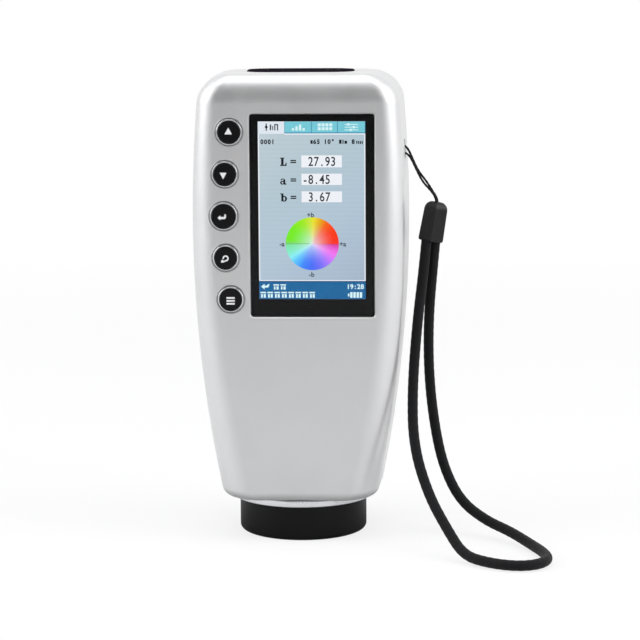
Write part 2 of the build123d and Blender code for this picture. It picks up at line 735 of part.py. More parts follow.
def trigger_post(side, radius=BOSS_RADIUS):
    """A post from the back wall to the test button's board, or the core of its screw."""
    start = TRIGGER_BOARD_Y
    end = rear_depth(TRIGGER_Z)
    if radius < BOSS_RADIUS:
        end = start + SCREW_BITE
    return along_y(radius, start, end, side * TRIGGER_POST_X, TRIGGER_Z)


PORT_POST_X = PORT_BOARD_LENGTH / 2 - PORT_POST_RADIUS
PORT_POST_Y = SEAM_Y + PORT_BOARD_REAR - PORT_POST_RADIUS


def port_post(side, radius=PORT_POST_RADIUS):
    """A post that hangs from the top wall and holds the port board, or the core of its screw."""
    end = CASE_TOP
    if radius < PORT_POST_RADIUS:
        end = PORT_BOARD_TOP_Z + SCREW_BITE
    return upright(radius, PORT_BOARD_TOP_Z, end, side * PORT_POST_X, PORT_POST_Y)


def eye_pin():
    """The steel pin across the lanyard eye."""
    x = EYE_SIDE_X - EYE_PIN_SET_BACK
    reach = EYE_WIDTH / 2 + EYE_PIN_BITE
    return along_y(EYE_PIN_RADIUS, EYE_Y - reach, EYE_Y + reach, x, EYE_Z)


def display_glass():
    """The flat glass over the display."""
    glass = rounded_block(
        GLASS_LEFT, GLASS_RIGHT, GLASS_FRONT_Y, GLASS_BACK_Y, GLASS_BOTTOM, GLASS_TOP, GLASS_CORNER, Axis.Y,
    )
    return chamfer(glass.faces().sort_by(Axis.Y)[0].edges(), LEAST_ROUND / 2)


def display_panel():
    """The display's own panel, which stands in the window behind the glass."""
    reach = WINDOW_MARGIN - RUN_GAP
    return box(
        SCREEN_LEFT - reach, SCREEN_RIGHT + reach, GLASS_BACK_Y + PRESS_GAP,
        GLASS_BACK_Y + PRESS_GAP + PANEL_THICKNESS, SCREEN_BOTTOM - reach, SCREEN_TOP + reach,
    )


DISPLAY_FRAME_Y = max(GLASS_BACK_Y + PRESS_GAP + PANEL_THICKNESS, FRONT_INNER_Y + PRESS_GAP)
DISPLAY_PAD_Y = DISPLAY_FRAME_Y + FRAME_THICKNESS


def display_back(y0, y1):
    """A plate as large as the display's frame."""
    return rounded_block(
        GLASS_LEFT + FRAME_MARGIN, GLASS_RIGHT - FRAME_MARGIN, y0, y1,
        GLASS_BOTTOM + FRAME_MARGIN, GLASS_TOP - FRAME_MARGIN, FRAME_CORNER, Axis.Y,
    )


def key_cap(index):
    """One round key with its flange and stem behind the wall."""
    x, z = key_place(index)
    radius = key_radius(index)
    flange_y = FRONT_INNER_Y + RUN_GAP
    flange_back = flange_y + KEY_FLANGE_THICKNESS
    cap = along_y(radius, FRONT_Y - KEY_PROUD, flange_y, x, z)
    cap = fillet(cap.faces().sort_by(Axis.Y)[0].edges(), KEY_CROWN)
    flange = along_y(radius + KEY_FLANGE_WIDTH, flange_y, flange_back, x, z)
    return cap + flange + along_y(KEY_STEM_RADIUS, flange_back, flange_back + KEY_STEM_LENGTH, x, z)


KEY_SWITCH_TOP_Y = (
    FRONT_INNER_Y + RUN_GAP + KEY_FLANGE_THICKNESS + KEY_STEM_LENGTH + KEY_TRAVEL + PRESS_GAP
)


def key_ring(index):
    """The ring round one key, seated in the front wall."""
    x, z = key_place(index)
    inner = key_radius(index) + RING_GAP
    ring = along_y(inner + RING_WIDTH, FRONT_Y - RING_PROUD, FRONT_Y + RING_SEAT_DEPTH, x, z)
    ring = fillet(ring.faces().sort_by(Axis.Y)[0].edges(), RING_EDGE)
    return ring - along_y(inner, FRONT_Y - WALL, FRONT_Y + WALL, x, z)


def key_switch(index):
    """The small switch behind one key: a square body and its round plunger."""
    x, z = key_place(index)
    half = KEY_SWITCH_SIDE / 2
    body = box(x - half, x + half, BOARD_Y - KEY_SWITCH_BODY, BOARD_Y, z - half, z + half)
    return body + along_y(PLUNGER_RADIUS, KEY_SWITCH_TOP_Y, BOARD_Y - KEY_SWITCH_BODY / 2, x, z)


def main_board():
    """The board behind the display and the keys, notched round the case's posts."""
    board = rounded_block(
        -BOARD_HALF, BOARD_HALF, BOARD_Y, BOARD_BACK_Y, BOARD_BOTTOM, BOARD_TOP, BOARD_CORNER, Axis.Y,
    )
    for x, z in BOARD_BOSS_SPOTS:
        board = board - along_y(SCREW_HOLE_RADIUS, BOARD_Y - WALL, BOARD_BACK_Y + WALL, x, z)
    for x, z in CASE_POST_SPOTS:
        board = board - along_y(POST_RADIUS + RUN_GAP, BOARD_Y - WALL, BOARD_BACK_Y + WALL, x, z)
    return board


def board_chips():
    """The processor and two memory chips on the back of the main board."""
    middle_z = (BOARD_BOTTOM + BOARD_TOP) / 2
    half = PROCESSOR_SIDE / 2
    chips = [box(
        -half, half, BOARD_BACK_Y, BOARD_BACK_Y + PROCESSOR_HEIGHT, middle_z - half, middle_z + half,
    )]
    for side in (-1, 1):
        x = side * (half + MEMORY_WIDTH)
        chips.append(box(
            x - MEMORY_WIDTH / 2, x + MEMORY_WIDTH / 2, BOARD_BACK_Y, BOARD_BACK_Y + MEMORY_HEIGHT,
            middle_z - MEMORY_LENGTH / 2, middle_z + MEMORY_LENGTH / 2,
        ))
    return group(chips)


def buzzer():
    """The round buzzer low on the back of the main board."""
    x = BOARD_HALF / 2
    z = BOARD_BOTTOM + 2 * BUZZER_RADIUS
    can = along_y(BUZZER_RADIUS, BOARD_BACK_Y, BOARD_BACK_Y + BUZZER_HEIGHT, x, z)
    return can - along_y(BUZZER_HOLE_RADIUS, BOARD_BACK_Y + BUZZER_HEIGHT / 2, SEAM_Y, x, z)


def top_panel():
    """The dark panel in the top face, with the ways for the knob and the two ports."""
    half_x = TOP_PANEL_LENGTH / 2
    half_y = TOP_PANEL_WIDTH / 2
    panel = rounded_block(
        -half_x, half_x, SEAM_Y - half_y, SEAM_Y + half_y,
        TOP_PANEL_SEAT_Z, TOP_PANEL_TOP_Z, TOP_PANEL_CORNER, Axis.Z,
    )
    panel = fillet(panel.faces().sort_by(Axis.Z)[-1].edges(), TOP_PANEL_EDGE)
    reach = (KNOB_LENGTH + SWITCH_TRAVEL) / 2 + RUN_GAP
    wide = KNOB_WIDTH / 2 + RUN_GAP
    low = TOP_PANEL_SEAT_Z - WALL
    high = TOP_PANEL_TOP_Z + WALL
    panel = panel - box(SWITCH_X - reach, SWITCH_X + reach, SEAM_Y - wide, SEAM_Y + wide, low, high)
    long = USB_LENGTH / 2 + FIT
    wide = USB_WIDTH / 2 + FIT
    panel = panel - rounded_block(
        -long, long, SEAM_Y - wide, SEAM_Y + wide, low, high, USB_CORNER + FIT, Axis.Z,
    )
    return panel - upright(JACK_NECK_RADIUS + FIT, low, high, PORT_PITCH, SEAM_Y)


PORT_TOP_Z = TOP_PANEL_TOP_Z - PORT_SET_BACK


def usb_socket():
    """An upright metal socket with a tongue in its mouth."""
    long = USB_LENGTH / 2
    wide = USB_WIDTH / 2
    can = rounded_block(
        -long, long, SEAM_Y - wide, SEAM_Y + wide, PORT_BOARD_TOP_Z, PORT_TOP_Z, USB_CORNER, Axis.Z,
    )
    long = long - USB_WALL
    wide = wide - USB_WALL
    floor = PORT_TOP_Z - USB_DEPTH
    can = can - rounded_block(
        -long, long, SEAM_Y - wide, SEAM_Y + wide, floor, PORT_TOP_Z + WALL, USB_CORNER - USB_WALL, Axis.Z,
    )
    return can + box(
        USB_CORNER - long, long - USB_CORNER, SEAM_Y - USB_TONGUE / 2, SEAM_Y + USB_TONGUE / 2,
        floor - USB_WALL, PORT_TOP_Z - USB_CORNER,
    )


def dc_jack():
    """The round power jack with its centre pin."""
    half = JACK_SIDE / 2
    body = box(
        PORT_PITCH - half, PORT_PITCH + half, SEAM_Y - half, SEAM_Y + half,
        PORT_BOARD_TOP_Z, PORT_BOARD_TOP_Z + JACK_BODY_HEIGHT,
    )
    body = body + upright(JACK_NECK_RADIUS, PORT_BOARD_TOP_Z, PORT_TOP_Z, PORT_PITCH, SEAM_Y)
    floor = PORT_TOP_Z - JACK_DEPTH
    body = body - upright(JACK_BORE_RADIUS, floor, PORT_TOP_Z + WALL, PORT_PITCH, SEAM_Y)
    return body + upright(JACK_PIN_RADIUS, floor - WALL, PORT_TOP_Z - USB_CORNER, PORT_PITCH, SEAM_Y)


SWITCH_TOP_Z = PORT_BOARD_TOP_Z + SWITCH_BODY_HEIGHT


def switch_body():
    """The slide switch's case on the port board."""
    long = SWITCH_BODY_LENGTH / 2
    wide = SWITCH_BODY_WIDTH / 2
    return box(
        SWITCH_X - long, SWITCH_X + long, SEAM_Y - wide, SEAM_Y + wide, PORT_BOARD_TOP_Z, SWITCH_TOP_Z,
    )


def switch_knob():
    """The knob that slides along X, shown at its off end."""
    x = SWITCH_X - SWITCH_TRAVEL / 2
    base = SWITCH_TOP_Z + PRESS_GAP
    top = TOP_PANEL_TOP_Z + KNOB_PROUD
    knob = box(
        x - KNOB_BASE_LENGTH / 2, x + KNOB_BASE_LENGTH / 2, SEAM_Y - KNOB_BASE_WIDTH / 2,
        SEAM_Y + KNOB_BASE_WIDTH / 2, base, base + KNOB_BASE_HEIGHT,
    )
    knob = knob + box(
        x - KNOB_LENGTH / 2, x + KNOB_LENGTH / 2, SEAM_Y - KNOB_WIDTH / 2,
        SEAM_Y + KNOB_WIDTH / 2, base, top,
    )
    step = KNOB_LENGTH / (KNOB_RIDGES + 1)
    for ridge in range(KNOB_RIDGES):
        groove_x = x - KNOB_LENGTH / 2 + step * (ridge + 1)
        knob = knob - box(
            groove_x - KNOB_GROOVE / 2, groove_x + KNOB_GROOVE / 2, SEAM_Y - KNOB_WIDTH,
            SEAM_Y + KNOB_WIDTH, top - KNOB_GROOVE, top + WALL,
        )
    return knob


def port_board():
    """The board under the top panel."""
    board = box(
        -PORT_BOARD_LENGTH / 2, PORT_BOARD_LENGTH / 2, SEAM_Y - PORT_BOARD_FRONT, SEAM_Y + PORT_BOARD_REAR,
        PORT_BOARD_TOP_Z - BOARD_THICKNESS, PORT_BOARD_TOP_Z,
    )
    for side in (-1, 1):
        board = board - upright(
            SCREW_HOLE_RADIUS, PORT_BOARD_TOP_Z - 2 * BOARD_THICKNESS, PORT_BOARD_TOP_Z + BOARD_THICKNESS,
            side * PORT_POST_X, PORT_POST_Y,
        )
    return board


def test_button():
    """The large button that takes a reading, with its flange inside the wall."""
    outer_y = rear_depth(TRIGGER_Z) + TRIGGER_PROUD
    cap = trigger_block(0.0, TRIGGER_BACK_Y, outer_y)
    cap = fillet(cap.faces().sort_by(Axis.Y)[-1].edges(), TRIGGER_EDGE)
    flange = trigger_block(TRIGGER_FLANGE_WIDTH, TRIGGER_BACK_Y, TRIGGER_FLANGE_Y)
    return cap + flange


def trigger_board():
    """The small board that carries the test button's switch."""
    rise = TRIGGER_SWITCH_SIDE / 2 + BOSS_RADIUS
    board = box(
        -TRIGGER_BOARD_HALF, TRIGGER_BOARD_HALF, TRIGGER_BOARD_Y - TRIGGER_BOARD_THICKNESS, TRIGGER_BOARD_Y,
        TRIGGER_Z - rise, TRIGGER_Z + rise,
    )
    for side in (-1, 1):
        board = board - along_y(
            SCREW_HOLE_RADIUS, TRIGGER_BOARD_Y - 2 * TRIGGER_BOARD_THICKNESS, TRIGGER_BOARD_Y + WALL,
            side * TRIGGER_POST_X, TRIGGER_Z,
        )
    return board


def trigger_switch():
    """The switch behind the test button."""
    half = TRIGGER_SWITCH_SIDE / 2
    middle = TRIGGER_BOARD_Y + TRIGGER_SWITCH_HEIGHT / 2
    body = box(-half, half, TRIGGER_BOARD_Y, middle, TRIGGER_Z - half, TRIGGER_Z + half)
    return body + along_y(PLUNGER_RADIUS, middle, TRIGGER_SWITCH_Y, 0, TRIGGER_Z)


def battery_cell():
    """The round rechargeable cell, nipple up."""
    top = CELL_BOTTOM_Z + CELL_LENGTH
    cell = upright(CELL_RADIUS, CELL_BOTTOM_Z, top, 0, CELL_Y)
    cell = fillet(cell.edges().filter_by(GeomType.CIRCLE), CELL_EDGE)
    return cell + upright(CELL_NIPPLE_RADIUS, top, top + CELL_NIPPLE_HEIGHT, 0, CELL_Y)


def battery_contacts():
    """A sprung plate at each end of the cell."""
    half = CONTACT_WIDTH / 2
    cell_top = CELL_BOTTOM_Z + CELL_LENGTH + CELL_NIPPLE_HEIGHT
    low = box(-half, half, CELL_Y - half, CELL_Y + half, BAY_BOTTOM, BAY_BOTTOM + CONTACT_THICKNESS)
    low = low + upright(CONTACT_STUD_RADIUS, BAY_BOTTOM, CELL_BOTTOM_Z, 0, CELL_Y)
    high = box(-half, half, CELL_Y - half, CELL_Y + half, BAY_TOP - CONTACT_THICKNESS, BAY_TOP)
    high = high + upright(CONTACT_STUD_RADIUS, cell_top, BAY_TOP, 0, CELL_Y)
    return group([low, high])


def battery_cover(outer):
    """The cover that pulls straight off the back, with a skirt that stands on the bay's rim."""
    half = COVER_HALF - RUN_GAP
    low = COVER_BOTTOM + RUN_GAP
    high = COVER_TOP - RUN_GAP
    corner = COVER_CORNER - RUN_GAP
    skin = rounded_block(-half, half, BAY_RIM_Y, 2 * REAR_DEPTH, low, high, corner, Axis.Y) & outer
    hollow = rounded_block(
        -half + COVER_SKIRT, half - COVER_SKIRT, 0.0, 2 * REAR_DEPTH, low + COVER_SKIRT, high - COVER_SKIRT,
        corner - COVER_SKIRT, Axis.Y,
    )
    skin = skin - (hollow & case_form(COVER_SKIN))
    notch_z = high - 2 * COVER_NOTCH_RADIUS
    wall_y = rear_depth(notch_z)
    notch = Pos(0, wall_y - COVER_NOTCH_DEPTH + COVER_NOTCH_RADIUS, notch_z) * Sphere(COVER_NOTCH_RADIUS)
    return skin - notch


def collar():
    """The silver ring between the case and the cap."""
    ring = upright(COLLAR_RADIUS, COLLAR_BOTTOM_Z, FLOOR_Z)
    ring = fillet(ring.edges().filter_by(GeomType.CIRCLE), COLLAR_EDGE)
    ring = ring - upright(NOSE_HOLE_RADIUS, COLLAR_BOTTOM_Z - WALL, FLOOR_Z + WALL)
    for x, y in COLLAR_SCREW_SPOTS:
        ring = ring - upright(SCREW_CORE_RADIUS, FLOOR_Z - COLLAR_SCREW_BITE, FLOOR_Z + WALL, x, y)
    return ring


def port_nose():
    """The tube that reaches through the collar and holds the sphere over the aperture."""
    flange_top = NOSE_FLANGE_TOP
    reach_x = FLOOR_HALF_WIDTH - WALL - NOSE_FLANGE_FLAT_GAP
    reach_y = FRONT_DEPTH - WALL - NOSE_FLANGE_FLAT_GAP
    flange = upright(NOSE_FLANGE_RADIUS, CASE_FLOOR_INNER, flange_top)
    flange = flange & box(-reach_x, reach_x, -reach_y, reach_y, CASE_FLOOR_INNER, flange_top)
    nose = flange + upright(NOSE_RADIUS, NOSE_BOTTOM_Z, flange_top)
    nose = nose - upright(NOSE_RADIUS - NOSE_WALL, NOSE_BOTTOM_Z + NOSE_FLOOR, flange_top + WALL)
    nose = nose - upright(APERTURE_PLATE_RADIUS + PRESS_GAP, 0, NOSE_BOTTOM_Z + APERTURE_PLATE_THICKNESS)
    nose = nose - upright(port_radius() + LEAST_ROUND, 0, SPHERE_Z)
    for x, y in COLLAR_SCREW_SPOTS:
        nose = nose - upright(SCREW_HOLE_RADIUS, CASE_FLOOR_INNER - WALL, flange_top + WALL, x, y)
    for x, y in sphere_screw_spots():
        nose = nose - upright(SCREW_CORE_RADIUS, CASE_FLOOR_INNER, flange_top + WALL, x, y)
    return nose


def port_radius():
    """The radius of the sphere's opening over the aperture."""
    drop = SPHERE_Z - NOSE_BOTTOM_Z - NOSE_FLOOR
    return sqrt(SPHERE_RADIUS ** 2 - drop ** 2)


def sphere_screw_spots():
    """Three places on the sphere's flange."""
    spots = []
    for index in range(SPHERE_SCREW_COUNT):
        angle = radians(90 + 360 * index / SPHERE_SCREW_COUNT)
        spots.append((SPHERE_SCREW_RADIUS * cos(angle), SPHERE_SCREW_RADIUS * sin(angle)))
    return spots


def aperture_plate():
    """The steel plate with the measuring aperture, bevelled inside."""
    top = NOSE_BOTTOM_Z + APERTURE_PLATE_THICKNESS
    plate = upright(APERTURE_PLATE_RADIUS, NOSE_BOTTOM_Z, top)
    plate = plate - upright(APERTURE_RADIUS, 0, SPHERE_Z)
    bevel = Cone(APERTURE_RADIUS, APERTURE_RADIUS + APERTURE_BEVEL, APERTURE_BEVEL)
    return plate - Pos(0, 0, top - APERTURE_BEVEL / 2) * bevel


# The sensor looks out of the sphere along one way and the lamp shines in along the other.
VIEW_WAY = Vector(0, -sin(radians(VIEW_TILT)), cos(radians(VIEW_TILT)))
LAMP_WAY = Vector(cos(radians(LAMP_LIFT)), 0, sin(radians(LAMP_LIFT)))
BOSS_END = SPHERE_RADIUS + SPHERE_WALL + BOSS_REACH
LENS_TUBE_END = BOSS_END + LENS_TUBE_LENGTH


def sphere_rod(way, radius, near, far):
    """A round bar between two distances from the sphere's centre."""
    middle = Vector(0, 0, SPHERE_Z)
    return rod(radius, middle + way * near, middle + way * far)


def sphere_half(upper):
    """One half of the integrating sphere with its flange."""
    ball = Pos(0, 0, SPHERE_Z) * Sphere(SPHERE_RADIUS + SPHERE_WALL)
    reach = 2 * SPHERE_RADIUS
    if upper:
        ball = ball + sphere_rod(VIEW_WAY, VIEW_BOSS_RADIUS, SPHERE_RADIUS, BOSS_END)
        ball = ball + sphere_rod(LAMP_WAY, LAMP_BOSS_RADIUS, SPHERE_RADIUS, BOSS_END)
        ball = ball & box(-reach, reach, -reach, reach, SPHERE_Z, SPHERE_Z + reach)
        ball = ball + upright(SPHERE_FLANGE_RADIUS, SPHERE_Z, SPHERE_Z + SPHERE_FLANGE_THICKNESS)
        ball = ball - sphere_rod(VIEW_WAY, VIEW_BORE_RADIUS, 0, reach)
        ball = ball - sphere_rod(LAMP_WAY, LED_RADIUS + PRESS_GAP, 0, reach)
    else:
        ball = ball & box(-reach, reach, -reach, reach, NOSE_BOTTOM_Z + NOSE_FLOOR, SPHERE_Z)
        ball = ball + upright(SPHERE_FLANGE_RADIUS, SPHERE_Z - SPHERE_FLANGE_THICKNESS, SPHERE_Z)
    ball = ball - Pos(0, 0, SPHERE_Z) * Sphere(SPHERE_RADIUS)
    through = 2 * SPHERE_FLANGE_THICKNESS
    for x, y in sphere_screw_spots():
        ball = ball - upright(SCREW_HOLE_RADIUS, SPHERE_Z - through, SPHERE_Z + through, x, y)
    return ball


def lens_tube():
    """The dark tube over the sensor's way, with its lens bonded in the near end."""
    tube = sphere_rod(VIEW_WAY, VIEW_BOSS_RADIUS, BOSS_END, LENS_TUBE_END)
    return tube - sphere_rod(VIEW_WAY, LENS_TUBE_BORE, BOSS_END - WALL, LENS_TUBE_END + WALL)


def sensor_lens():
    """The small lens in the tube."""
    return sphere_rod(VIEW_WAY, LENS_TUBE_BORE - PRESS_GAP / 2, BOSS_END, BOSS_END + LENS_THICKNESS)


def sensor_board():
    """The square board across the end of the lens tube."""
    standing = (Align.CENTER, Align.CENTER, Align.MIN)
    board = Box(SENSOR_BOARD_SIDE, SENSOR_BOARD_SIDE, SENSOR_BOARD_THICKNESS, align=standing)
    origin = Vector(0, 0, SPHERE_Z) + VIEW_WAY * LENS_TUBE_END
    return Plane(origin=origin, z_dir=VIEW_WAY).location * board


def color_sensor():
    """The sensor under the board, looking down the tube."""
    return sphere_rod(VIEW_WAY, SENSOR_RADIUS, LENS_TUBE_END - SENSOR_HEIGHT, LENS_TUBE_END)


def lamp_board():
    """The round board that closes the lamp's way."""
    return sphere_rod(LAMP_WAY, LAMP_BOARD_RADIUS, BOSS_END, BOSS_END + LAMP_BOARD_THICKNESS)


def lamp_led():
    """The lamp on its board."""
    return sphere_rod(LAMP_WAY, LED_RADIUS, BOSS_END - LED_LENGTH, BOSS_END)


CAP_BORE_RADIUS = NOSE_RADIUS + CAP_GAP


def calibration_cap():
    """The black cup that slides over the nose."""
    cup = upright(CAP_RADIUS, 0, COLLAR_BOTTOM_Z)
    cup = fillet(cup.edges().sort_by(Axis.Z)[0], CAP_EDGE)
    cup = cup - upright(CAP_BORE_RADIUS, NOSE_BOTTOM_Z - PRESS_GAP, COLLAR_BOTTOM_Z + WALL)
    cup = cup - upright(TILE_RADIUS + PRESS_GAP, CAP_FLOOR, COLLAR_BOTTOM_Z)
    return chamfer(cup.edges().sort_by(Axis.Z)[-1], CAP_LIP)


def cap_pad():
    """The foam disc under the tile."""
    return upright(TILE_RADIUS, CAP_FLOOR, CAP_FLOOR + PAD_THICKNESS)


def calibration_tile():
    """The white tile that the nose looks at."""
    low = CAP_FLOOR + PAD_THICKNESS
    return upright(TILE_RADIUS, low, low + TILE_THICKNESS)


def bead_section(height, set_in):
    """A six-sided plan at a height, with a ridge in front and behind."""
    share = height / BEAD_LENGTH
    half = (BEAD_WIDTH_BOTTOM + (BEAD_WIDTH_TOP - BEAD_WIDTH_BOTTOM) * share) / 2 - set_in
    deep = (BEAD_DEPTH_BOTTOM + (BEAD_DEPTH_TOP - BEAD_DEPTH_BOTTOM) * share) / 2 - set_in
    flat = deep / BEAD_RIDGE_SHARE
    points = [(-half, -flat), (0, -deep), (half, -flat), (half, flat), (0, deep), (-half, flat)]
    return Wire(Polyline(*[(x, y, height) for x, y in points], close=True).edges())


def strap_bead():
    """The faceted bead that joins the string and the cord, round at its top and its foot."""
    turns = [pi / 2 * step / BEAD_ROUND_STEPS for step in range(BEAD_ROUND_STEPS + 1)]
    sections = []
    for turn in turns:
        sections.append(bead_section(BEAD_FOOT * (1 - cos(turn)), BEAD_FOOT * (1 - sin(turn))))
    for turn in turns:
        height = BEAD_LENGTH - BEAD_CROWN + BEAD_CROWN * sin(turn)
        sections.append(bead_section(height, BEAD_CROWN * (1 - cos(turn))))
    bead = Solid.make_loft(sections, True)
    return Pos(*BEAD_BOTTOM) * Rot(0, BEAD_TILT, 0) * bead


def cord_tube(route, diameter, name):
    """A round tube along straight runs joined by arcs as large as the runs allow."""
    points = [Vector(*point) for point in route]
    radii = []
    for before, here, after in zip(points, points[1:], points[2:]):
        run = min((here - before).length, (after - here).length)
        turn = radians((here - before).get_angle(after - here))
        radii.append(CORD_RUN_SHARE * run / tan(turn / 2))
    path = FilletPolyline(*route, radius=radii)
    start = Plane(origin=path @ 0, z_dir=path % 0)
    tube = sweep(start * Circle(diameter / 2), path=path)
    area = pi * (diameter / 2) ** 2
    rounded = [round(radius, 1) for radius in radii]
    print(name, "length", round(path.length, 1), "radii", rounded)
    print(name, "volume", round(tube.volume, 2), "section times length", round(area * path.length, 2))
    return tube


def main():
    os.makedirs("parts", exist_ok=True)
    outer = case_form(0.0)
    inner = case_form(WALL)
    groove = seam_groove()
    keys = range(len(KEY_NAMES))
    board_seats = [(x, BOARD_BACK_Y, z) for x, z in BOARD_BOSS_SPOTS]
    case_seats = [(x, SEAM_Y + POST_SCREW_DEPTH, z) for x, z in CASE_POST_SPOTS]
    port_seat_z = PORT_BOARD_TOP_Z - BOARD_THICKNESS
    port_seats = [(side * PORT_POST_X, PORT_POST_Y, port_seat_z) for side in (-1, 1)]
    trigger_seat_y = TRIGGER_BOARD_Y - TRIGGER_BOARD_THICKNESS
    trigger_seats = [(side * TRIGGER_POST_X, trigger_seat_y, TRIGGER_Z) for side in (-1, 1)]
    collar_seats = [(x, y, NOSE_FLANGE_TOP) for x, y in COLLAR_SCREW_SPOTS]
    sphere_seats = [(x, y, SPHERE_Z + SPHERE_FLANGE_THICKNESS) for x, y in sphere_screw_spots()]
    sphere_bite = 2 * SPHERE_FLANGE_THICKNESS + COLLAR_SCREW_BITE
    pieces = {
        "front_shell": front_shell(outer, inner, groove),
        "rear_shell": rear_shell(outer, inner, groove),
        "display_glass": display_glass(),
        "display_panel": display_panel(),
        "display_frame": display_back(DISPLAY_FRAME_Y, DISPLAY_PAD_Y),
        "display_pad": display_back(DISPLAY_PAD_Y, BOARD_Y),
        "key_rings": group(key_ring(index) for index in keys),
        "key_switches": group(key_switch(index) for index in keys),
        "main_board": main_board(),
        "board_chips": board_chips(),
        "buzzer": buzzer(),
        "board_screws": screws_at(board_seats, (0, -1, 0), SCREW_BITE),
        "case_screws": screws_at(case_seats, (0, -1, 0), POST_SCREW_DEPTH + POST_SCREW_BITE),
        "top_panel": top_panel(),
        "port_board": port_board(),
        "usb_socket": usb_socket(),
        "power_jack": dc_jack(),
        "power_switch_body": switch_body(),
        "power_switch_knob": switch_knob(),
        "port_screws": screws_at(port_seats, (0, 0, 1), SCREW_BITE),
        "test_button": test_button(),
        "trigger_board": trigger_board(),
        "trigger_switch": trigger_switch(),
        "trigger_screws": screws_at(trigger_seats, (0, 1, 0), SCREW_BITE),
        "battery_cell": battery_cell(),
        "battery_contacts": battery_contacts(),
        "battery_cover": battery_cover(outer),
        "collar": collar(),
        "collar_screws": screws_at(collar_seats, (0, 0, -1), COLLAR_SCREW_LENGTH),
        "port_nose": port_nose(),
        "aperture_plate": aperture_plate(),
        "sphere_lower": sphere_half(False),
        "sphere_upper": sphere_half(True),
        "sphere_screws": screws_at(sphere_seats, (0, 0, -1), sphere_bite),
        "lens_tube": lens_tube(),
        "sensor_lens": sensor_lens(),
        "sensor_board": sensor_board(),
        "color_sensor": color_sensor(),
        "lamp_board": lamp_board(),
        "lamp_led": lamp_led(),
        "calibration_cap": calibration_cap(),
        "cap_pad": cap_pad(),
        "calibration_tile": calibration_tile(),
        "lanyard_pin": eye_pin(),
        "strap_bead": strap_bead(),
        "strap_string": cord_tube(STRING_ROUTE, STRING_DIAMETER, "strap_string"),
        "strap_cord": cord_tube(CORD_ROUTE, CORD_DIAMETER, "strap_cord"),
    }
    for index in keys:
        pieces[KEY_NAMES[index]] = key_cap(index)
    for name, piece in pieces.items():
        export_step(piece, "parts/" + name + ".step")
        print(name, "volume", round(piece.volume, 2))


main()
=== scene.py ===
from math import cos, hypot, pi, radians, sin, sqrt, tan

import bmesh
import bpy
import numpy as np
from mathutils import Matrix, Vector
from mathutils.geometry import tessellate_polygon


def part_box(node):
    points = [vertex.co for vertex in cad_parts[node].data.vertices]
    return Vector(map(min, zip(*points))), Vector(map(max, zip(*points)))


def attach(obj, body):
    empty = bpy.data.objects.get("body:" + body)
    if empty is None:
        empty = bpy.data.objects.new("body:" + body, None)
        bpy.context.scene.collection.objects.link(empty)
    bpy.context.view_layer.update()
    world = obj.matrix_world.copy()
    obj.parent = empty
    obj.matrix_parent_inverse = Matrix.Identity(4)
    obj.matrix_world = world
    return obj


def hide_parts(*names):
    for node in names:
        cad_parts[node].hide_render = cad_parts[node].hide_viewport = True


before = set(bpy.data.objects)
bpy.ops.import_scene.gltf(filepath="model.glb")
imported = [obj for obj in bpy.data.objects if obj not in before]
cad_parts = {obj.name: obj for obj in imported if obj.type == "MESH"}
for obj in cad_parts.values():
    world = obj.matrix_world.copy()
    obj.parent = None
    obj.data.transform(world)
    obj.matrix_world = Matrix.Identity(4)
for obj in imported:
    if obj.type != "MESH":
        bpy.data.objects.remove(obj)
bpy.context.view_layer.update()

MM = 0.001

# Camera, in the place that the photograph was taken from
CAMERA_AIM_DISTANCE = 764.0
CAMERA_AZIMUTH = radians(2.9)
CAMERA_PITCH = radians(8.67)
CAMERA_ROLL = radians(0.33)
CAMERA_SIDE_STEP = 5.95
CAMERA_HEIGHT = 187.4
FOCAL_LENGTH = 129.375
SENSOR_WIDTH = 36.0

# Case skin, the same sizes as the shells: millimetres
CASE_FLOOR_Z = 14.0
RIM_RISE = 3.3
SHOULDER_Z = 144.7
TOP_RISE = 9.5
WIDEST_Z = 104.0
HALF_WIDTH = 35.75
FLOOR_HALF_WIDTH = 26.4
SHOULDER_HALF_WIDTH = 34.0
SIDE_DRAFT = radians(3.2)
SEAM_Y = 2.0
FRONT_DEPTH = 24.0
REAR_WIDEST_Z = 104.0
REAR_DEPTH = 33.0
FLOOR_REAR_DEPTH = 25.5
SHOULDER_REAR_DEPTH = 31.8
FRONT_EDGE_RADIUS_LOW = 10.0
FRONT_EDGE_RADIUS_HIGH = 7.0
REAR_EDGE_RADIUS = 16.0
TOP_ROUNDS = {"side": 10.0, "front": 6.0, "rear": 12.0}
RIM_ROUNDS = {"side": 3.3, "front": 1.8, "rear": 3.3}
TOP_FRONT_CORNER = 2.0
TOP_REAR_CORNER = 6.0
SKIN_TOLERANCE = 0.08
SKIN_FACING = 0.9
FACE_MARGIN = 0.05
NORMAL_STEP = 0.02
STEEPEST_LIFT = 0.9999

# Corners nearer than this are joined: millimetres
JOIN_DISTANCE = 0.0005
TYPE_JOIN_DISTANCE = 0.0001

# Wrist strap
CORD_DIAMETER = 3.4
CORD_ROUTE = [
    (41.8, -7.1, 100.2), (40.85, -7.4, 89.5), (38.8, -10.0, 73.0), (37.1, -15.5, 51.0),
    (37.5, -22.5, 33.0), (42.4, -31.0, 18.4), (48.8, -39.4, 8.4), (53.8, -47.2, 2.3),
    (61.2, -54.8, 1.9), (69.8, -58.8, 1.9), (76.6, -57.0, 1.9), (80.6, -51.0, 1.9),
    (80.0, -42.6, 1.9), (75.8, -30.6, 1.9), (69.6, -20.8, 3.6), (61.4, -13.2, 5.6),
    (53.2, -7.4, 10.8), (47.7, -4.2, 21.2), (44.6, -2.7, 34.5), (42.5, -2.2, 52.5),
    (42.35, -3.4, 72.0), (43.75, -4.6, 89.4), (44.75, -4.9, 99.9)]
CORD_END_TRIM = 1.2
ROUTE_RESOLUTION = 24
CORD_SIDES = 32
CORD_RING_STEP = 0.3
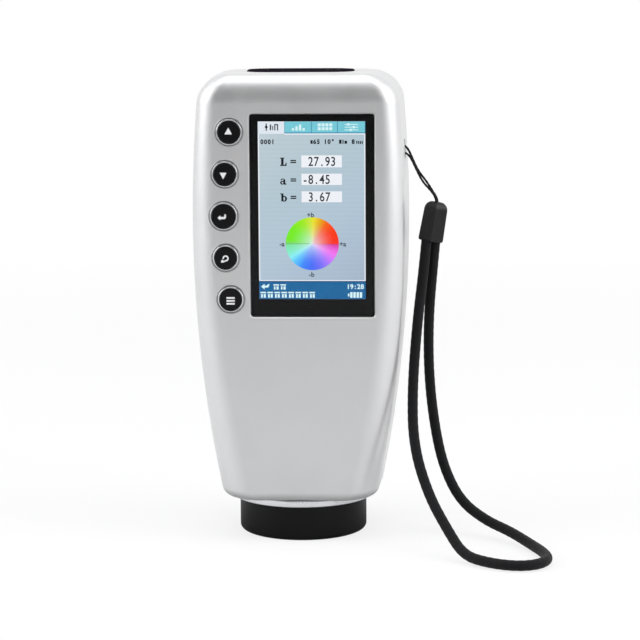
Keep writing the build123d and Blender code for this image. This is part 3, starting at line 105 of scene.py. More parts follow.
BRAID_RELIEF = 0.045
BRAID_STRANDS = 6
BRAID_LAY = 5.2
STRING_DIAMETER = 0.75
STRING_ROUTE = [
    (45.0, -6.6, 110.0), (44.9, -6.6, 112.4), (43.4, -6.6, 114.9), (40.4, -6.6, 118.0),
    (38.3, -6.6, 122.2), (36.4, -6.5, 126.3), (34.6, -6.3, 127.8), (31.4, -6.1, 127.6),
    (31.4, -5.9, 130.4), (34.0, -5.7, 130.3), (35.6, -5.5, 128.9), (36.9, -5.4, 126.0),
    (38.8, -5.4, 121.7), (41.6, -5.4, 118.2), (43.6, -5.4, 115.0), (45.3, -5.4, 112.4),
    (45.5, -5.4, 110.0)]
STRING_SIDES = 16
STRING_RING_STEP = 0.14
STRING_LAY = 1.6
STRING_RELIEF = 0.03

# Key surrounds and case screws, the same sizes as their solids
KEY_RADIUS = 3.5
ENTER_KEY_EXTRA = 0.3
RING_GAP = 0.2
RING_WIDTH = 0.5
RING_EDGE = 0.2
RING_STEPS = 72
RING_EDGE_STEPS = 4
SCREW_ROWS = (71.5, 146.0)
SCREW_SET_IN = 6.0
SCREW_SEAT_Y = 11.0
SCREW_HEAD_RADIUS = 1.8
SCREW_HEAD_HEIGHT = 1.3
SCREW_HEAD_DOME = 0.35
SCREW_HEAD_STEPS = 40
SCREW_HEAD_RINGS = 5
SCREW_SHANK_RADIUS = 0.8
SCREW_SHANK_LENGTH = 17.0
SCREW_SHANK_STEPS = 24
SCREW_SLOT_WIDTH = 0.5
SCREW_SLOT_LENGTH = 2.0
SCREW_SLOT_DEPTH = 0.6

# Screen picture: dots of a 240-column display, counted from its top left corner
SCREEN_COLUMNS = 240
SCREEN_BORDER_LEFT = 2.7
SCREEN_BORDER_RIGHT = 2.95
SCREEN_BORDER_BOTTOM = 5.7
SCREEN_BORDER_TOP = 2.4
MARK_THICKNESS = 0.012
LAYER_STEP = 0.016
INK_THICKNESS = 0.03
INK_DEPTH = 0.05
INK_MARGIN = 0.1
SCREEN_LINE_PITCH = 1.45
TYPE_HEIGHT_SHARE = 0.73
CORNER_STEPS = 4


def srgb(red, green, blue):
    """Linear colour from the 0-255 values that a screen shows."""
    def linear(value):
        value = value / 255.0
        if value <= 0.04045:
            return value / 12.92
        return ((value + 0.055) / 1.055) ** 2.4
    return (linear(red), linear(green), linear(blue), 1.0)


# Node helpers

NOISE_LOW = 0.3
NOISE_HIGH = 0.7


def feed(tree, socket, value):
    """Links a node or a socket into a socket, or else sets the socket's own value."""
    if isinstance(value, bpy.types.Node):
        value = value.outputs[0]
    if isinstance(value, bpy.types.NodeSocket):
        tree.links.new(value, socket)
    else:
        socket.default_value = value


def add_node(tree, kind, inputs=(), **settings):
    """A new node, set and fed; a list feeds several values into one input."""
    node = tree.nodes.new(kind)
    for name, value in settings.items():
        setattr(node, name, value)
    for socket, value in dict(inputs).items():
        for part in value if isinstance(value, list) else [value]:
            feed(tree, node.inputs[socket], part)
    return node


class Finish:
    """A material under construction: nodes are added and linked by short calls."""

    def __init__(self, name, **values):
        self.material = bpy.data.materials.new(name)
        self.material.use_nodes = True
        self.tree = self.material.node_tree
        self.shader = self.tree.nodes["Principled BSDF"]
        for socket, value in values.items():
            self.drive(socket.replace("_", " "), value)

    def drive(self, socket, value):
        """Feeds one of the shader's own inputs."""
        feed(self.tree, self.shader.inputs[socket], value)

    def add(self, kind, inputs=(), **settings):
        return add_node(self.tree, kind, inputs, **settings)

    def place(self):
        return self.add("ShaderNodeTexCoord").outputs["Object"]

    def parts(self, vector):
        """The X, Y and Z of a vector."""
        return self.add("ShaderNodeSeparateXYZ", {"Vector": vector}).outputs

    def math(self, operation, first, second=0.0):
        return self.add("ShaderNodeMath", {0: first, 1: second}, operation=operation).outputs[0]

    def noise(self, scale, detail=3.0, roughness=0.55, vector=None):
        vector = vector or self.place()
        return self.add("ShaderNodeTexNoise", {
            "Vector": vector, "Scale": scale, "Detail": detail, "Roughness": roughness}).outputs["Fac"]

    def ramp(self, value, stops):
        node = self.add("ShaderNodeValToRGB", {"Fac": value})
        band = node.color_ramp
        while len(band.elements) < len(stops):
            band.elements.new(0.5)
        for element, (position, color) in zip(band.elements, stops):
            element.position = position
            element.color = color
        return node.outputs["Color"]

    def span(self, value, low, high, to_low=0.0, to_high=1.0):
        return self.add("ShaderNodeMapRange", {
            "Value": value, "From Min": low, "From Max": high,
            "To Min": to_low, "To Max": to_high}).outputs["Result"]

    def between(self, factor, first, second, blend="MIX"):
        """The colour that a factor picks between two."""
        return self.add("ShaderNodeMix", {0: factor, 6: first, 7: second},
                        data_type="RGBA", blend_type=blend).outputs[2]

    def bump(self, height, strength, distance):
        self.drive("Normal", self.add("ShaderNodeBump", {
            "Height": height, "Strength": strength, "Distance": distance * MM}))

    def color(self, value):
        self.drive("Base Color", value)

    def rough(self, value, low, high):
        """Roughness that follows a noise."""
        self.drive("Roughness", self.span(value, NOISE_LOW, NOISE_HIGH, low, high))


# Materials

# Black plastics: darkest and palest colour, least and most roughness, grain, shine, relief
MOULDED_BLACKS = {
    "inner_black": ((0.010, 0.010, 0.010, 1), (0.018, 0.018, 0.018, 1), 0.55, 0.7, 900.0, 0.4, 0.03),
    "chip_black": ((0.012, 0.012, 0.013, 1), (0.022, 0.022, 0.024, 1), 0.5, 0.62, 3000.0, 0.4, 0.02),
    "border_ink": ((0.002, 0.002, 0.0025, 1), (0.004, 0.004, 0.005, 1), 0.5, 0.6, 2000.0, 0.1, 0.012),
    "key_gloss": ((0.004, 0.004, 0.0045, 1), (0.007, 0.007, 0.008, 1), 0.16, 0.26, 2600.0, 0.12, 0.006),
    "cap_black": ((0.006, 0.006, 0.0065, 1), (0.010, 0.010, 0.011, 1), 0.34, 0.44, 1500.0, 0.12, 0.02),
    "bead_black": ((0.006, 0.006, 0.007, 1), (0.012, 0.012, 0.013, 1), 0.34, 0.46, 1800.0, 0.22, 0.015),
    "panel_satin": ((0.012, 0.009, 0.014, 1), (0.020, 0.016, 0.024, 1), 0.5, 0.6, 1600.0, 0.0, 0.01),
    "trigger_gloss": ((0.007, 0.005, 0.009, 1), (0.013, 0.010, 0.017, 1), 0.12, 0.2, 2600.0, 0.4, 0.004)}


def silver_paint():
    finish = Finish("silver_paint", Metallic=0.70, Coat_Weight=0.10, Coat_Roughness=0.32,
                    Specular_IOR_Level=0.5)
    flakes = finish.noise(9000.0, 1.0, 0.4)
    clouds = finish.noise(55.0, 3.0)
    tone = finish.math("ADD", finish.math("MULTIPLY", flakes, 0.75), finish.math("MULTIPLY", clouds, 0.25))
    finish.color(finish.between(tone, (0.588, 0.59, 0.596, 1), (0.777, 0.779, 0.785, 1)))
    finish.rough(finish.noise(140.0, 4.0), 0.36, 0.43)
    finish.bump(flakes, 0.12, 0.01)
    return finish.material


def polished_ring():
    finish = Finish("polished_ring", Metallic=1.0)
    finish.color(finish.ramp(finish.noise(300.0, 2.0), [
        (0.2, (0.60, 0.61, 0.63, 1)), (0.8, (0.72, 0.73, 0.74, 1))]))
    finish.rough(finish.noise(900.0, 2.0), 0.10, 0.2)
    return finish.material


def collar_metal():
    """Turned metal, with fine lines that run round it."""
    finish = Finish("collar_metal", Metallic=1.0)
    stretched = finish.add("ShaderNodeMapping", {"Vector": finish.place(), "Scale": (60.0, 60.0, 5200.0)})
    lines = finish.noise(1.0, 4.0, 0.6, stretched)
    finish.color(finish.ramp(lines, [
        (0.25, (0.66, 0.67, 0.69, 1)), (0.75, (0.84, 0.85, 0.87, 1))]))
    finish.rough(lines, 0.22, 0.34)
    finish.bump(lines, 0.10, 0.02)
    return finish.material


def see_through(name, index, smear, blur, tint):
    """Clear glass or plastic, with a noise of smears that its roughness and its tint follow."""
    finish = Finish(name, Transmission_Weight=1.0, IOR=index)
    smears = finish.noise(*smear)
    finish.drive("Roughness", finish.span(smears, *blur))
    finish.color(finish.ramp(smears, [(0.0, tint), (1.0, (1.0, 1.0, 1.0, 1))]))
    return finish.material


def moulded_black(name):
    """Black plastic with a fine moulded grain."""
    dark, light, low, high, grain, shine, relief = MOULDED_BLACKS[name]
    finish = Finish(name, Specular_IOR_Level=shine)
    finish.color(finish.between(finish.noise(90.0, 4.0), dark, light))
    finish.rough(finish.noise(240.0, 4.0), low, high)
    finish.bump(finish.noise(grain, 3.0, 0.6), 0.25, relief)
    return finish.material


def board_lacquer():
    finish = Finish("board_green", Coat_Weight=0.4, Coat_Roughness=0.15, Roughness=0.42)
    upright = finish.add("ShaderNodeMapping", {
        "Vector": finish.place(), "Rotation": (radians(90), 0.0, 0.0)})
    lanes = finish.add("ShaderNodeTexBrick", {
        "Vector": upright, "Scale": 220.0, "Color1": (0.012, 0.13, 0.05, 1),
        "Color2": (0.01, 0.10, 0.04, 1), "Mortar": (0.03, 0.22, 0.08, 1), "Mortar Size": 0.03})
    finish.color(finish.between(0.75, (0.01, 0.11, 0.045, 1), lanes.outputs["Color"]))
    finish.bump(lanes.outputs["Fac"], 0.2, 0.02)
    return finish.material


def bare_metal(name, dark, light, low, high, scale):
    finish = Finish(name, Metallic=1.0)
    marks = finish.noise(scale, 5.0, 0.65)
    finish.color(finish.between(marks, dark, light))
    finish.rough(marks, low, high)
    finish.bump(marks, 0.1, 0.01)
    return finish.material


def matte_white(name, dark, light, low, high, relief, coat=0.0):
    finish = Finish(name, Coat_Weight=coat, Coat_Roughness=0.05)
    powder = finish.noise(2600.0, 3.0, 0.6)
    finish.color(finish.between(finish.noise(160.0, 3.0), dark, light))
    finish.rough(powder, low, high)
    finish.bump(powder, 0.25, relief)
    return finish.material


def foam():
    finish = Finish("foam", Roughness=0.95)
    cells = finish.add("ShaderNodeTexVoronoi", {"Vector": finish.place(), "Scale": 2200.0})
    # Painted shade: each cell is darker in its hollow middle and paler at its walls, following the same
    # relief as the bump
    finish.color(finish.ramp(cells.outputs["Distance"], [
        (0.1, (0.006, 0.006, 0.007, 1)), (0.7, (0.035, 0.035, 0.038, 1))]))
    finish.bump(cells.outputs["Distance"], 0.6, 0.15)
    return finish.material


def cell_wrap():
    finish = Finish("cell_wrap", Coat_Weight=0.3, Coat_Roughness=0.12)
    wrinkles = finish.noise(180.0, 4.0)
    finish.color(finish.between(wrinkles, (0.015, 0.07, 0.24, 1), (0.03, 0.12, 0.36, 1)))
    finish.rough(wrinkles, 0.28, 0.42)
    finish.bump(wrinkles, 0.2, 0.08)
    return finish.material


def lamp_phosphor():
    finish = Finish("lamp_white", Roughness=0.35, Coat_Weight=0.6, Coat_Roughness=0.05)
    finish.color(finish.between(
        finish.noise(3000.0, 2.0), (0.82, 0.72, 0.28, 1), (0.92, 0.84, 0.45, 1)))
    return finish.material


def key_print():
    finish = Finish("key_print", Roughness=0.45)
    finish.color(finish.ramp(finish.noise(1500.0, 2.0), [
        (0.3, (0.80, 0.80, 0.81, 1)), (0.7, (0.92, 0.92, 0.93, 1))]))
    return finish.material


def strap_weave(name, lay, strands, tint):
    """Black nylon: bump of crossing yarns along the cord's own UV map, u round it, v along it. Its colour
    follows the same height: painted shade in the grooves between yarns, and random tone from the fuzz.
    """
    finish = Finish(name, Sheen_Weight=0.08, Sheen_Roughness=0.45, Specular_IOR_Level=0.12)
    split = finish.parts(finish.add("ShaderNodeTexCoord").outputs["UV"])
    turn = finish.math("MULTIPLY", split["X"], 2 * pi * strands)
    run = finish.math("MULTIPLY", split["Y"], 2 * pi / (lay * MM))
    left = finish.math("SINE", finish.math("ADD", turn, run))
    right = finish.math("SINE", finish.math("SUBTRACT", turn, run))
    yarns = finish.math("MAXIMUM", left, right)
    fuzz = finish.noise(3500.0, 3.0, 0.7)
    height = finish.math("ADD", finish.math("MULTIPLY", yarns, 0.7), finish.math("MULTIPLY", fuzz, 0.5))
    # Painted shade: darker where the yarns sink, paler on their crowns, with a random fuzz tone on top
    finish.color(finish.ramp(finish.span(height, -0.6, 1.2), [
        (0.0, (0.002 * tint, 0.002 * tint, 0.0022 * tint, 1)),
        (1.0, (0.013 * tint, 0.013 * tint, 0.0145 * tint, 1))]))
    finish.rough(fuzz, 0.62, 0.86)
    finish.bump(height, 0.5, 0.05)
    return finish.material


def lit(name):
    """The start of a part of the screen, which shines and mirrors nothing."""
    return Finish(name, Roughness=0.4, Emission_Strength=1.0, Base_Color=(0.0, 0.0, 0.0, 1.0),
                  Specular_IOR_Level=0.0)


def glow(name, color, variation=0.03, scale=900.0):
    """A mark on the screen, which shows its colour as written, with the faint grain of its dots."""
    finish = lit(name)
    dim = tuple(part * (1.0 - variation) for part in color[:3]) + (1.0,)
    bright = tuple(part * (1.0 + variation) for part in color[:3]) + (1.0,)
    finish.drive("Emission Color", finish.between(finish.noise(scale, 2.0), dim, bright))
    return finish.material


def screen_background(top, bottom, left, right):
    """Pale blue-grey picture ground, cooler and darker towards its lower right corner."""
    finish = lit("display_panel")
    split = finish.parts(finish.place())
    down = finish.span(split["Z"], top * MM, bottom * MM)
    across = finish.span(split["X"], left * MM, right * MM)
    mix = finish.math("ADD", finish.math("MULTIPLY", down, 0.72), finish.math("MULTIPLY", across, 0.28))
    ground = finish.ramp(mix, [
        (0.0, srgb(203, 217, 226)), (0.12, srgb(190, 205, 213)), (0.35, srgb(181, 201, 212)),
        (0.6, srgb(178, 198, 215)), (0.85, srgb(170, 187, 207)), (1.0, srgb(160, 177, 196))])
    rows = finish.math("SINE", finish.math("MULTIPLY", split["Z"], 2 * pi / (SCREEN_LINE_PITCH * MM)))
    lines = finish.span(rows, -1.0, 1.0, 0.975, 1.012)
    shade = finish.add("ShaderNodeCombineColor", {0: lines, 1: lines, 2: lines})
    finish.drive("Emission Color", finish.between(1.0, ground, shade, "MULTIPLY"))
    return finish.material


# Hues round the wheel: degrees, and the colour that the screen shows there
WHEEL_HUES = [
    (0.0, (252, 44, 22)), (35.0, (252, 58, 8)), (55.0, (248, 100, 10)), (72.0, (232, 176, 16)),
    (87.0, (238, 226, 44)), (92.0, (214, 232, 60)), (112.0, (160, 236, 30)), (140.0, (120, 238, 26)),
    (172.0, (118, 236, 36)), (180.0, (122, 214, 110)), (184.0, (128, 232, 168)), (202.0, (134, 238, 206)),
    (212.0, (140, 240, 244)), (226.0, (92, 200, 255)), (246.0, (64, 138, 252)), (268.0, (66, 108, 250)),
    (288.0, (108, 112, 250)), (306.0, (160, 120, 255)), (322.0, (214, 122, 255)), (334.0, (244, 120, 242)),
    (350.0, (232, 82, 206)), (358.0, (216, 60, 140)), (360.0, (240, 48, 60))]


def hue_wheel(center_x, center_z, radius):
    """Hue by angle about the wheel's centre, washed out to white towards it."""
    finish = lit("hue_wheel")
    split = finish.parts(finish.place())
    across = finish.math("SUBTRACT", split["X"], center_x * MM)
    rise = finish.math("SUBTRACT", split["Z"], center_z * MM)
    angle = finish.math("ARCTAN2", rise, across)
    turn = finish.math("FRACT", finish.math("ADD", finish.math("DIVIDE", angle, 2 * pi), 1.0))
    hue = finish.ramp(turn, [(degree / 360.0, srgb(*color)) for degree, color in WHEEL_HUES])
    square = finish.math(
        "ADD", finish.math("MULTIPLY", across, across), finish.math("MULTIPLY", rise, rise))
    reach = finish.math("DIVIDE", finish.math("SQRT", square), radius * MM)
    wash = finish.math("POWER", finish.span(reach, 0.0, 0.9, 0.9, 0.0), 2.2)
    finish.drive("Emission Color", finish.between(wash, hue, srgb(226, 240, 246)))
    return finish.material


# Mesh helpers

def placed(name, data):
    """A new object in the scene."""
    made = bpy.data.objects.new(name, data)
    bpy.context.scene.collection.objects.link(made)
    return made


def plain_mesh(name, vertices, faces=()):
    mesh = bpy.data.meshes.new(name)
    mesh.from_pydata(vertices, [], faces)
    return mesh


def new_piece(name, mesh, material, body, replaced=()):
    """A piece that rides on a body, has one material and may stand for solids."""
    piece = placed(name, mesh)
    mesh.materials.clear()
    mesh.materials.append(material)
    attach(piece, body)
    if replaced:
        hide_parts(*replaced)
    return piece


def bowed(z, widest_z, widest, at_floor, at_shoulder):
    """A measure of the case that is greatest at one height and shrinks towards both ends."""
    if z < widest_z:
        share, end = (widest_z - z) / (widest_z - CASE_FLOOR_Z), at_floor
    else:
        share, end = (z - widest_z) / (SHOULDER_Z - widest_z), at_shoulder
    return widest - (widest - end) * share ** 2


def half_width(z):
    return bowed(z, WIDEST_Z, HALF_WIDTH, FLOOR_HALF_WIDTH, SHOULDER_HALF_WIDTH)


def rear_depth(z):
    return bowed(z, REAR_WIDEST_Z, REAR_DEPTH, FLOOR_REAR_DEPTH, SHOULDER_REAR_DEPTH)


def drawn_in(lift):
    """How far a rounded edge has drawn in at a share of its height: a quarter circle."""
    lift = min(lift, STEEPEST_LIFT)
    return 1.0 - sqrt(1.0 - lift * lift)


def skin_distance(x, y, z):
    """How far a point stands outside the case's outer skin, measured level."""
    share = min(max((z - CASE_FLOOR_Z) / (SHOULDER_Z - CASE_FLOOR_Z), 0.0), 1.0)
    front_radius = FRONT_EDGE_RADIUS_LOW + (FRONT_EDGE_RADIUS_HIGH - FRONT_EDGE_RADIUS_LOW) * share
    rear_radius = REAR_EDGE_RADIUS
    rounds, turn = RIM_ROUNDS, 0.0
    if z > SHOULDER_Z:
        rounds, turn = TOP_ROUNDS, drawn_in((z - SHOULDER_Z) / TOP_RISE)
        front_radius = front_radius * (1.0 - turn) + TOP_FRONT_CORNER * turn
        rear_radius = rear_radius * (1.0 - turn) + TOP_REAR_CORNER * turn
    elif z < CASE_FLOOR_Z + RIM_RISE:
        turn = drawn_in((CASE_FLOOR_Z + RIM_RISE - z) / RIM_RISE)
    side = half_width(z) - rounds["side"] * turn
    front = FRONT_DEPTH - rounds["front"] * turn
    rear = rear_depth(z) - rounds["rear"] * turn
    x = abs(x)
    if y > SEAM_Y:
        across = x - side + rear_radius
        along = y - rear + rear_radius
        outside = hypot(max(across, 0.0), max(along, 0.0))
        return outside + min(max(across, along), 0.0) - rear_radius
    center_y = front_radius - front
    center_x = side - (SEAM_Y - center_y) * tan(SIDE_DRAFT) - front_radius / cos(SIDE_DRAFT)
    to_side = (x - side) * cos(SIDE_DRAFT) + (SEAM_Y - y) * sin(SIDE_DRAFT)
    if x > center_x and y < center_y and (x - center_x) * tan(SIDE_DRAFT) < center_y - y:
        return hypot(x - center_x, y - center_y) - front_radius
    return max(to_side, -y - front)


def skin_normal(x, y, z):
    """Outward direction of the case's skin, from the slope of its distance."""
    top, floor = SHOULDER_Z + TOP_RISE, CASE_FLOOR_Z
    if z > top - NORMAL_STEP:
        return Vector((0.0, 0.0, 1.0))
    if z < floor + NORMAL_STEP:
        return Vector((0.0, 0.0, -1.0))
    low, high = max(z - NORMAL_STEP, floor), min(z + NORMAL_STEP, top)
    slope = Vector((
        (skin_distance(x + NORMAL_STEP, y, z) - skin_distance(x - NORMAL_STEP, y, z)) / (2 * NORMAL_STEP),
        (skin_distance(x, y + NORMAL_STEP, z) - skin_distance(x, y - NORMAL_STEP, z)) / (2 * NORMAL_STEP),
        (skin_distance(x, y, high) - skin_distance(x, y, low)) / (high - low)))
    return slope.normalized()


def joined_copy(source, name):
    """The solid's mesh with its faces joined up, and the direction that each corner had before."""
    count = len(source.loops)
    directions = np.empty(count * 3, dtype=np.float32)
    source.corner_normals.foreach_get("vector", directions)
    mesh = source.copy()
    mesh.name = name
    mark = mesh.attributes.new("source_corner", "INT", "CORNER")
    mark.data.foreach_set("value", np.arange(count, dtype=np.int32))
    form = bmesh.new()
    form.from_mesh(mesh)
    bmesh.ops.remove_doubles(form, verts=form.verts, dist=JOIN_DISTANCE * MM)
    form.to_mesh(mesh)
    form.free()
    corners = np.empty(len(mesh.loops), dtype=np.int32)
    mesh.attributes["source_corner"].data.foreach_get("value", corners)
    mesh.attributes.remove(mesh.attributes["source_corner"])
    return mesh, directions.reshape(count, 3)[corners].astype(float)


def smoothed(mesh, normals, tangent):
    """Corner directions, each averaged by area with those at its point within an angle of it."""
    around_vertex = [[] for _ in mesh.vertices]
    areas = np.empty(len(mesh.loops))
    for polygon in mesh.polygons:
        for loop in polygon.loop_indices:
            around_vertex[mesh.loops[loop].vertex_index].append(loop)
            areas[loop] = polygon.area
    limit = cos(radians(tangent))
    result = normals.copy()
    for loops in around_vertex:
        group = normals[loops]
        close = group @ group.T > limit
        for row, loop in enumerate(loops):
            picked = [loops[i] for i in np.nonzero(close[row])[0]]
            total = (normals[picked] * areas[picked, None]).sum(axis=0)
            result[loop] = total / max(np.linalg.norm(total), 1e-12)
    return result


def follow_skin(mesh, normals):
    """Turns the corners of faces on the case's skin to the skin's own direction."""
    for polygon in mesh.polygons:
        center = polygon.center / MM
        inside = CASE_FLOOR_Z + FACE_MARGIN < center.z < SHOULDER_Z + TOP_RISE - FACE_MARGIN
        if inside and abs(skin_distance(*center)) > SKIN_TOLERANCE:
            continue
        if polygon.normal.dot(skin_normal(*center)) < SKIN_FACING:
            continue
        for loop in polygon.loop_indices:
            place = mesh.vertices[mesh.loops[loop].vertex_index].co / MM
            normals[loop] = skin_normal(*place)


def welded(node, name, material, body, on_skin=False, tangent=12.0):
    """The solid's own mesh with its faces joined up, and its shading run smoothly across them."""
    mesh, normals = joined_copy(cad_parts[node].data, name)
    normals = smoothed(mesh, normals, tangent)
    if on_skin:
        follow_skin(mesh, normals)
    mesh.polygons.foreach_set("use_smooth", [True] * len(mesh.polygons))
    mesh.normals_split_custom_set([tuple(direction) for direction in normals])
    return new_piece(name, mesh, material, body, (node,))


def prism_mesh(name, outlines, front_y, thickness):
    """Flat closed plates that face -Y: each outline is a list of (x, z) in millimetres."""
    vertices, faces = [], []
    for outline in outlines:
        turn = sum((b[0] - a[0]) * (b[1] + a[1]) for a, b in zip(outline, outline[1:] + outline[:1]))
        ring = list(outline) if turn < 0 else list(reversed(outline))
        start = len(vertices)
        count = len(ring)
        vertices += [(x * MM, front_y * MM, z * MM) for x, z in ring]
        vertices += [(x * MM, (front_y + thickness) * MM, z * MM) for x, z in ring]
        for a, b, c in tessellate_polygon([[Vector((x, z, 0.0)) for x, z in ring]]):
            span = (Vector(ring[b]) - Vector(ring[a])).cross(Vector(ring[c]) - Vector(ring[a]))
            if span < 0:
                b, c = c, b
            faces.append((start + a, start + b, start + c))
            faces.append((start + count + a, start + count + c, start + count + b))
        for index in range(count):
            after = (index + 1) % count
            faces.append((start + index, start + count + index, start + count + after, start + after))
    mesh = plain_mesh(name, vertices, faces)
    mesh.validate()
    return mesh


def arc_points(center, radius, start, end, count):
    angles = [radians(start + (end - start) * step / count) for step in range(count + 1)]
    return [(center[0] + radius * cos(angle), center[1] + radius * sin(angle)) for angle in angles]


# Camera

def make_camera():
    azimuth, pitch, roll = CAMERA_AZIMUTH, CAMERA_PITCH, CAMERA_ROLL
    data = bpy.data.cameras.new("camera")
    data.lens = FOCAL_LENGTH
    data.sensor_width = SENSOR_WIDTH
    data.clip_start = 0.01
    data.clip_end = 50.0
    camera = placed("camera", data)
    bpy.context.scene.camera = camera
    ahead = Vector((-sin(azimuth) * cos(pitch), cos(azimuth) * cos(pitch), -sin(pitch)))
    right = Vector((cos(azimuth), sin(azimuth), 0.0))
    above = right.cross(ahead)
    tilted_right = right * cos(roll) - above * sin(roll)
    tilted_above = right * sin(roll) + above * cos(roll)
    turn = Matrix((tilted_right, tilted_above, -ahead)).transposed().to_4x4()
    place = Vector((sin(azimuth) * CAMERA_AIM_DISTANCE + CAMERA_SIDE_STEP * cos(azimuth),
                    -cos(azimuth) * CAMERA_AIM_DISTANCE + CAMERA_SIDE_STEP * sin(azimuth),
                    CAMERA_HEIGHT))
    camera.matrix_world = Matrix.Translation(place * MM) @ turn


# Wrist strap

def route_points(name, route):
    """Points along the smooth line that a route's control points give, in metres."""
    line = bpy.data.curves.new(name, "CURVE")
    line.dimensions = "3D"
    line.resolution_u = ROUTE_RESOLUTION
    spline = line.splines.new("NURBS")
    spline.points.add(len(route) - 1)
    for point, place in zip(spline.points, route):
        point.co = (place[0] * MM, place[1] * MM, place[2] * MM, 1.0)
    spline.order_u = 3
    spline.use_endpoint_u = True
    holder = placed(name, line)
    traced = bpy.data.meshes.new_from_object(holder)
    points = [vertex.co.copy() for vertex in traced.vertices]
    bpy.data.objects.remove(holder)
    bpy.data.meshes.remove(traced)
    bpy.data.curves.remove(line)
    return points


def even_points(points, step):
    """The same line, cut into equal steps."""
    lengths = [0.0]
    for before, after in zip(points, points[1:]):
        lengths.append(lengths[-1] + (after - before).length)
    count = max(2, round(lengths[-1] / step))
    places, index = [], 0
    for number in range(count + 1):
        target = lengths[-1] * number / count
        while index < len(points) - 2 and lengths[index + 1] < target:
            index += 1
        share = (target - lengths[index]) / max(lengths[index + 1] - lengths[index], 1e-9)
        places.append(points[index].lerp(points[index + 1], min(share, 1.0)))
    return places


def without_ends(points, trim):
    """The same line, less a short length at each end."""
    for _ in range(2):
        left = trim
        while (points[1] - points[0]).length < left:
            left -= (points[1] - points[0]).length
            points = points[1:]
        start = points[0].lerp(points[1], left / (points[1] - points[0]).length)
        points = [start] + points[1:]
        points.reverse()
    return points


def tube_mesh(name, points, step, sides, radius_at):
    """Closed tube along a line, with its radius given by turn (0-1) and distance along it."""
    places = even_points(points, step)
    count = len(places)
    ahead = [(places[min(i + 1, count - 1)] - places[max(i - 1, 0)]).normalized() for i in range(count)]
    across = Vector((0.0, 1.0, 0.0)).cross(ahead[0]).normalized()
    vertices, faces, marks = [], [], []
    for index, place in enumerate(places):
        across = (across - ahead[index] * across.dot(ahead[index])).normalized()
        other = ahead[index].cross(across)
        distance = step * index
        for side in range(sides):
            turn = side / sides
            radius = radius_at(turn, distance)
            angle = 2 * pi * turn
            vertices.append(place + (across * cos(angle) + other * sin(angle)) * radius)
    for index in range(count - 1):
        for side in range(sides):
            after = (side + 1) % sides
            faces.append((index * sides + side, index * sides + after,
                          (index + 1) * sides + after, (index + 1) * sides + side))
            marks += [((side + over) / sides, step * (index + along))
                      for over, along in ((0, 0), (1, 0), (1, 1), (0, 1))]
    faces.append(tuple(reversed(range(sides))))
    faces.append(tuple(range((count - 1) * sides, count * sides)))
    marks += [(0.5, 0.0)] * sides + [(0.5, step * count)] * sides
    mesh = plain_mesh(name, [tuple(vertex) for vertex in vertices], faces)
    layer = mesh.uv_layers.new(name="UVMap")
    for data, mark in zip(layer.data, marks):
        data.uv = mark
    for polygon in mesh.polygons:
        polygon.use_smooth = len(polygon.vertices) == 4
    return mesh


def make_strap(bead):
    """Wrist cord and its thin string, each one closed tube that follows its route."""
    weave = strap_weave("strap_braid", lay=1.3, strands=16, tint=1.0)
    twist = strap_weave("string_twist", lay=0.7, strands=4, tint=0.8)

    def braid(turn, distance):
        lean = 2 * pi * distance / (BRAID_LAY * MM)
        wave = cos(2 * pi * BRAID_STRANDS * turn + lean) * cos(2 * pi * BRAID_STRANDS * turn - lean)
        return (CORD_DIAMETER / 2 + BRAID_RELIEF * (wave - 0.5)) * MM

    def ply(turn, distance):
        lean = 2 * pi * distance / (STRING_LAY * MM)
        return (STRING_DIAMETER / 2 + STRING_RELIEF * (cos(4 * pi * turn + lean) - 0.6)) * MM

    cord_line = without_ends(route_points("cord_line", CORD_ROUTE), CORD_END_TRIM * MM)
    cord = new_piece("wrist_cord", tube_mesh(
        "wrist_cord", cord_line, CORD_RING_STEP * MM, CORD_SIDES, braid),
        weave, "housing", ("strap_cord",))
    string_line = route_points("string_line", STRING_ROUTE)
    string = new_piece("tie_string", tube_mesh(
        "tie_string", string_line, STRING_RING_STEP * MM, STRING_SIDES, ply),
        twist, "housing", ("strap_string",))


# Screen

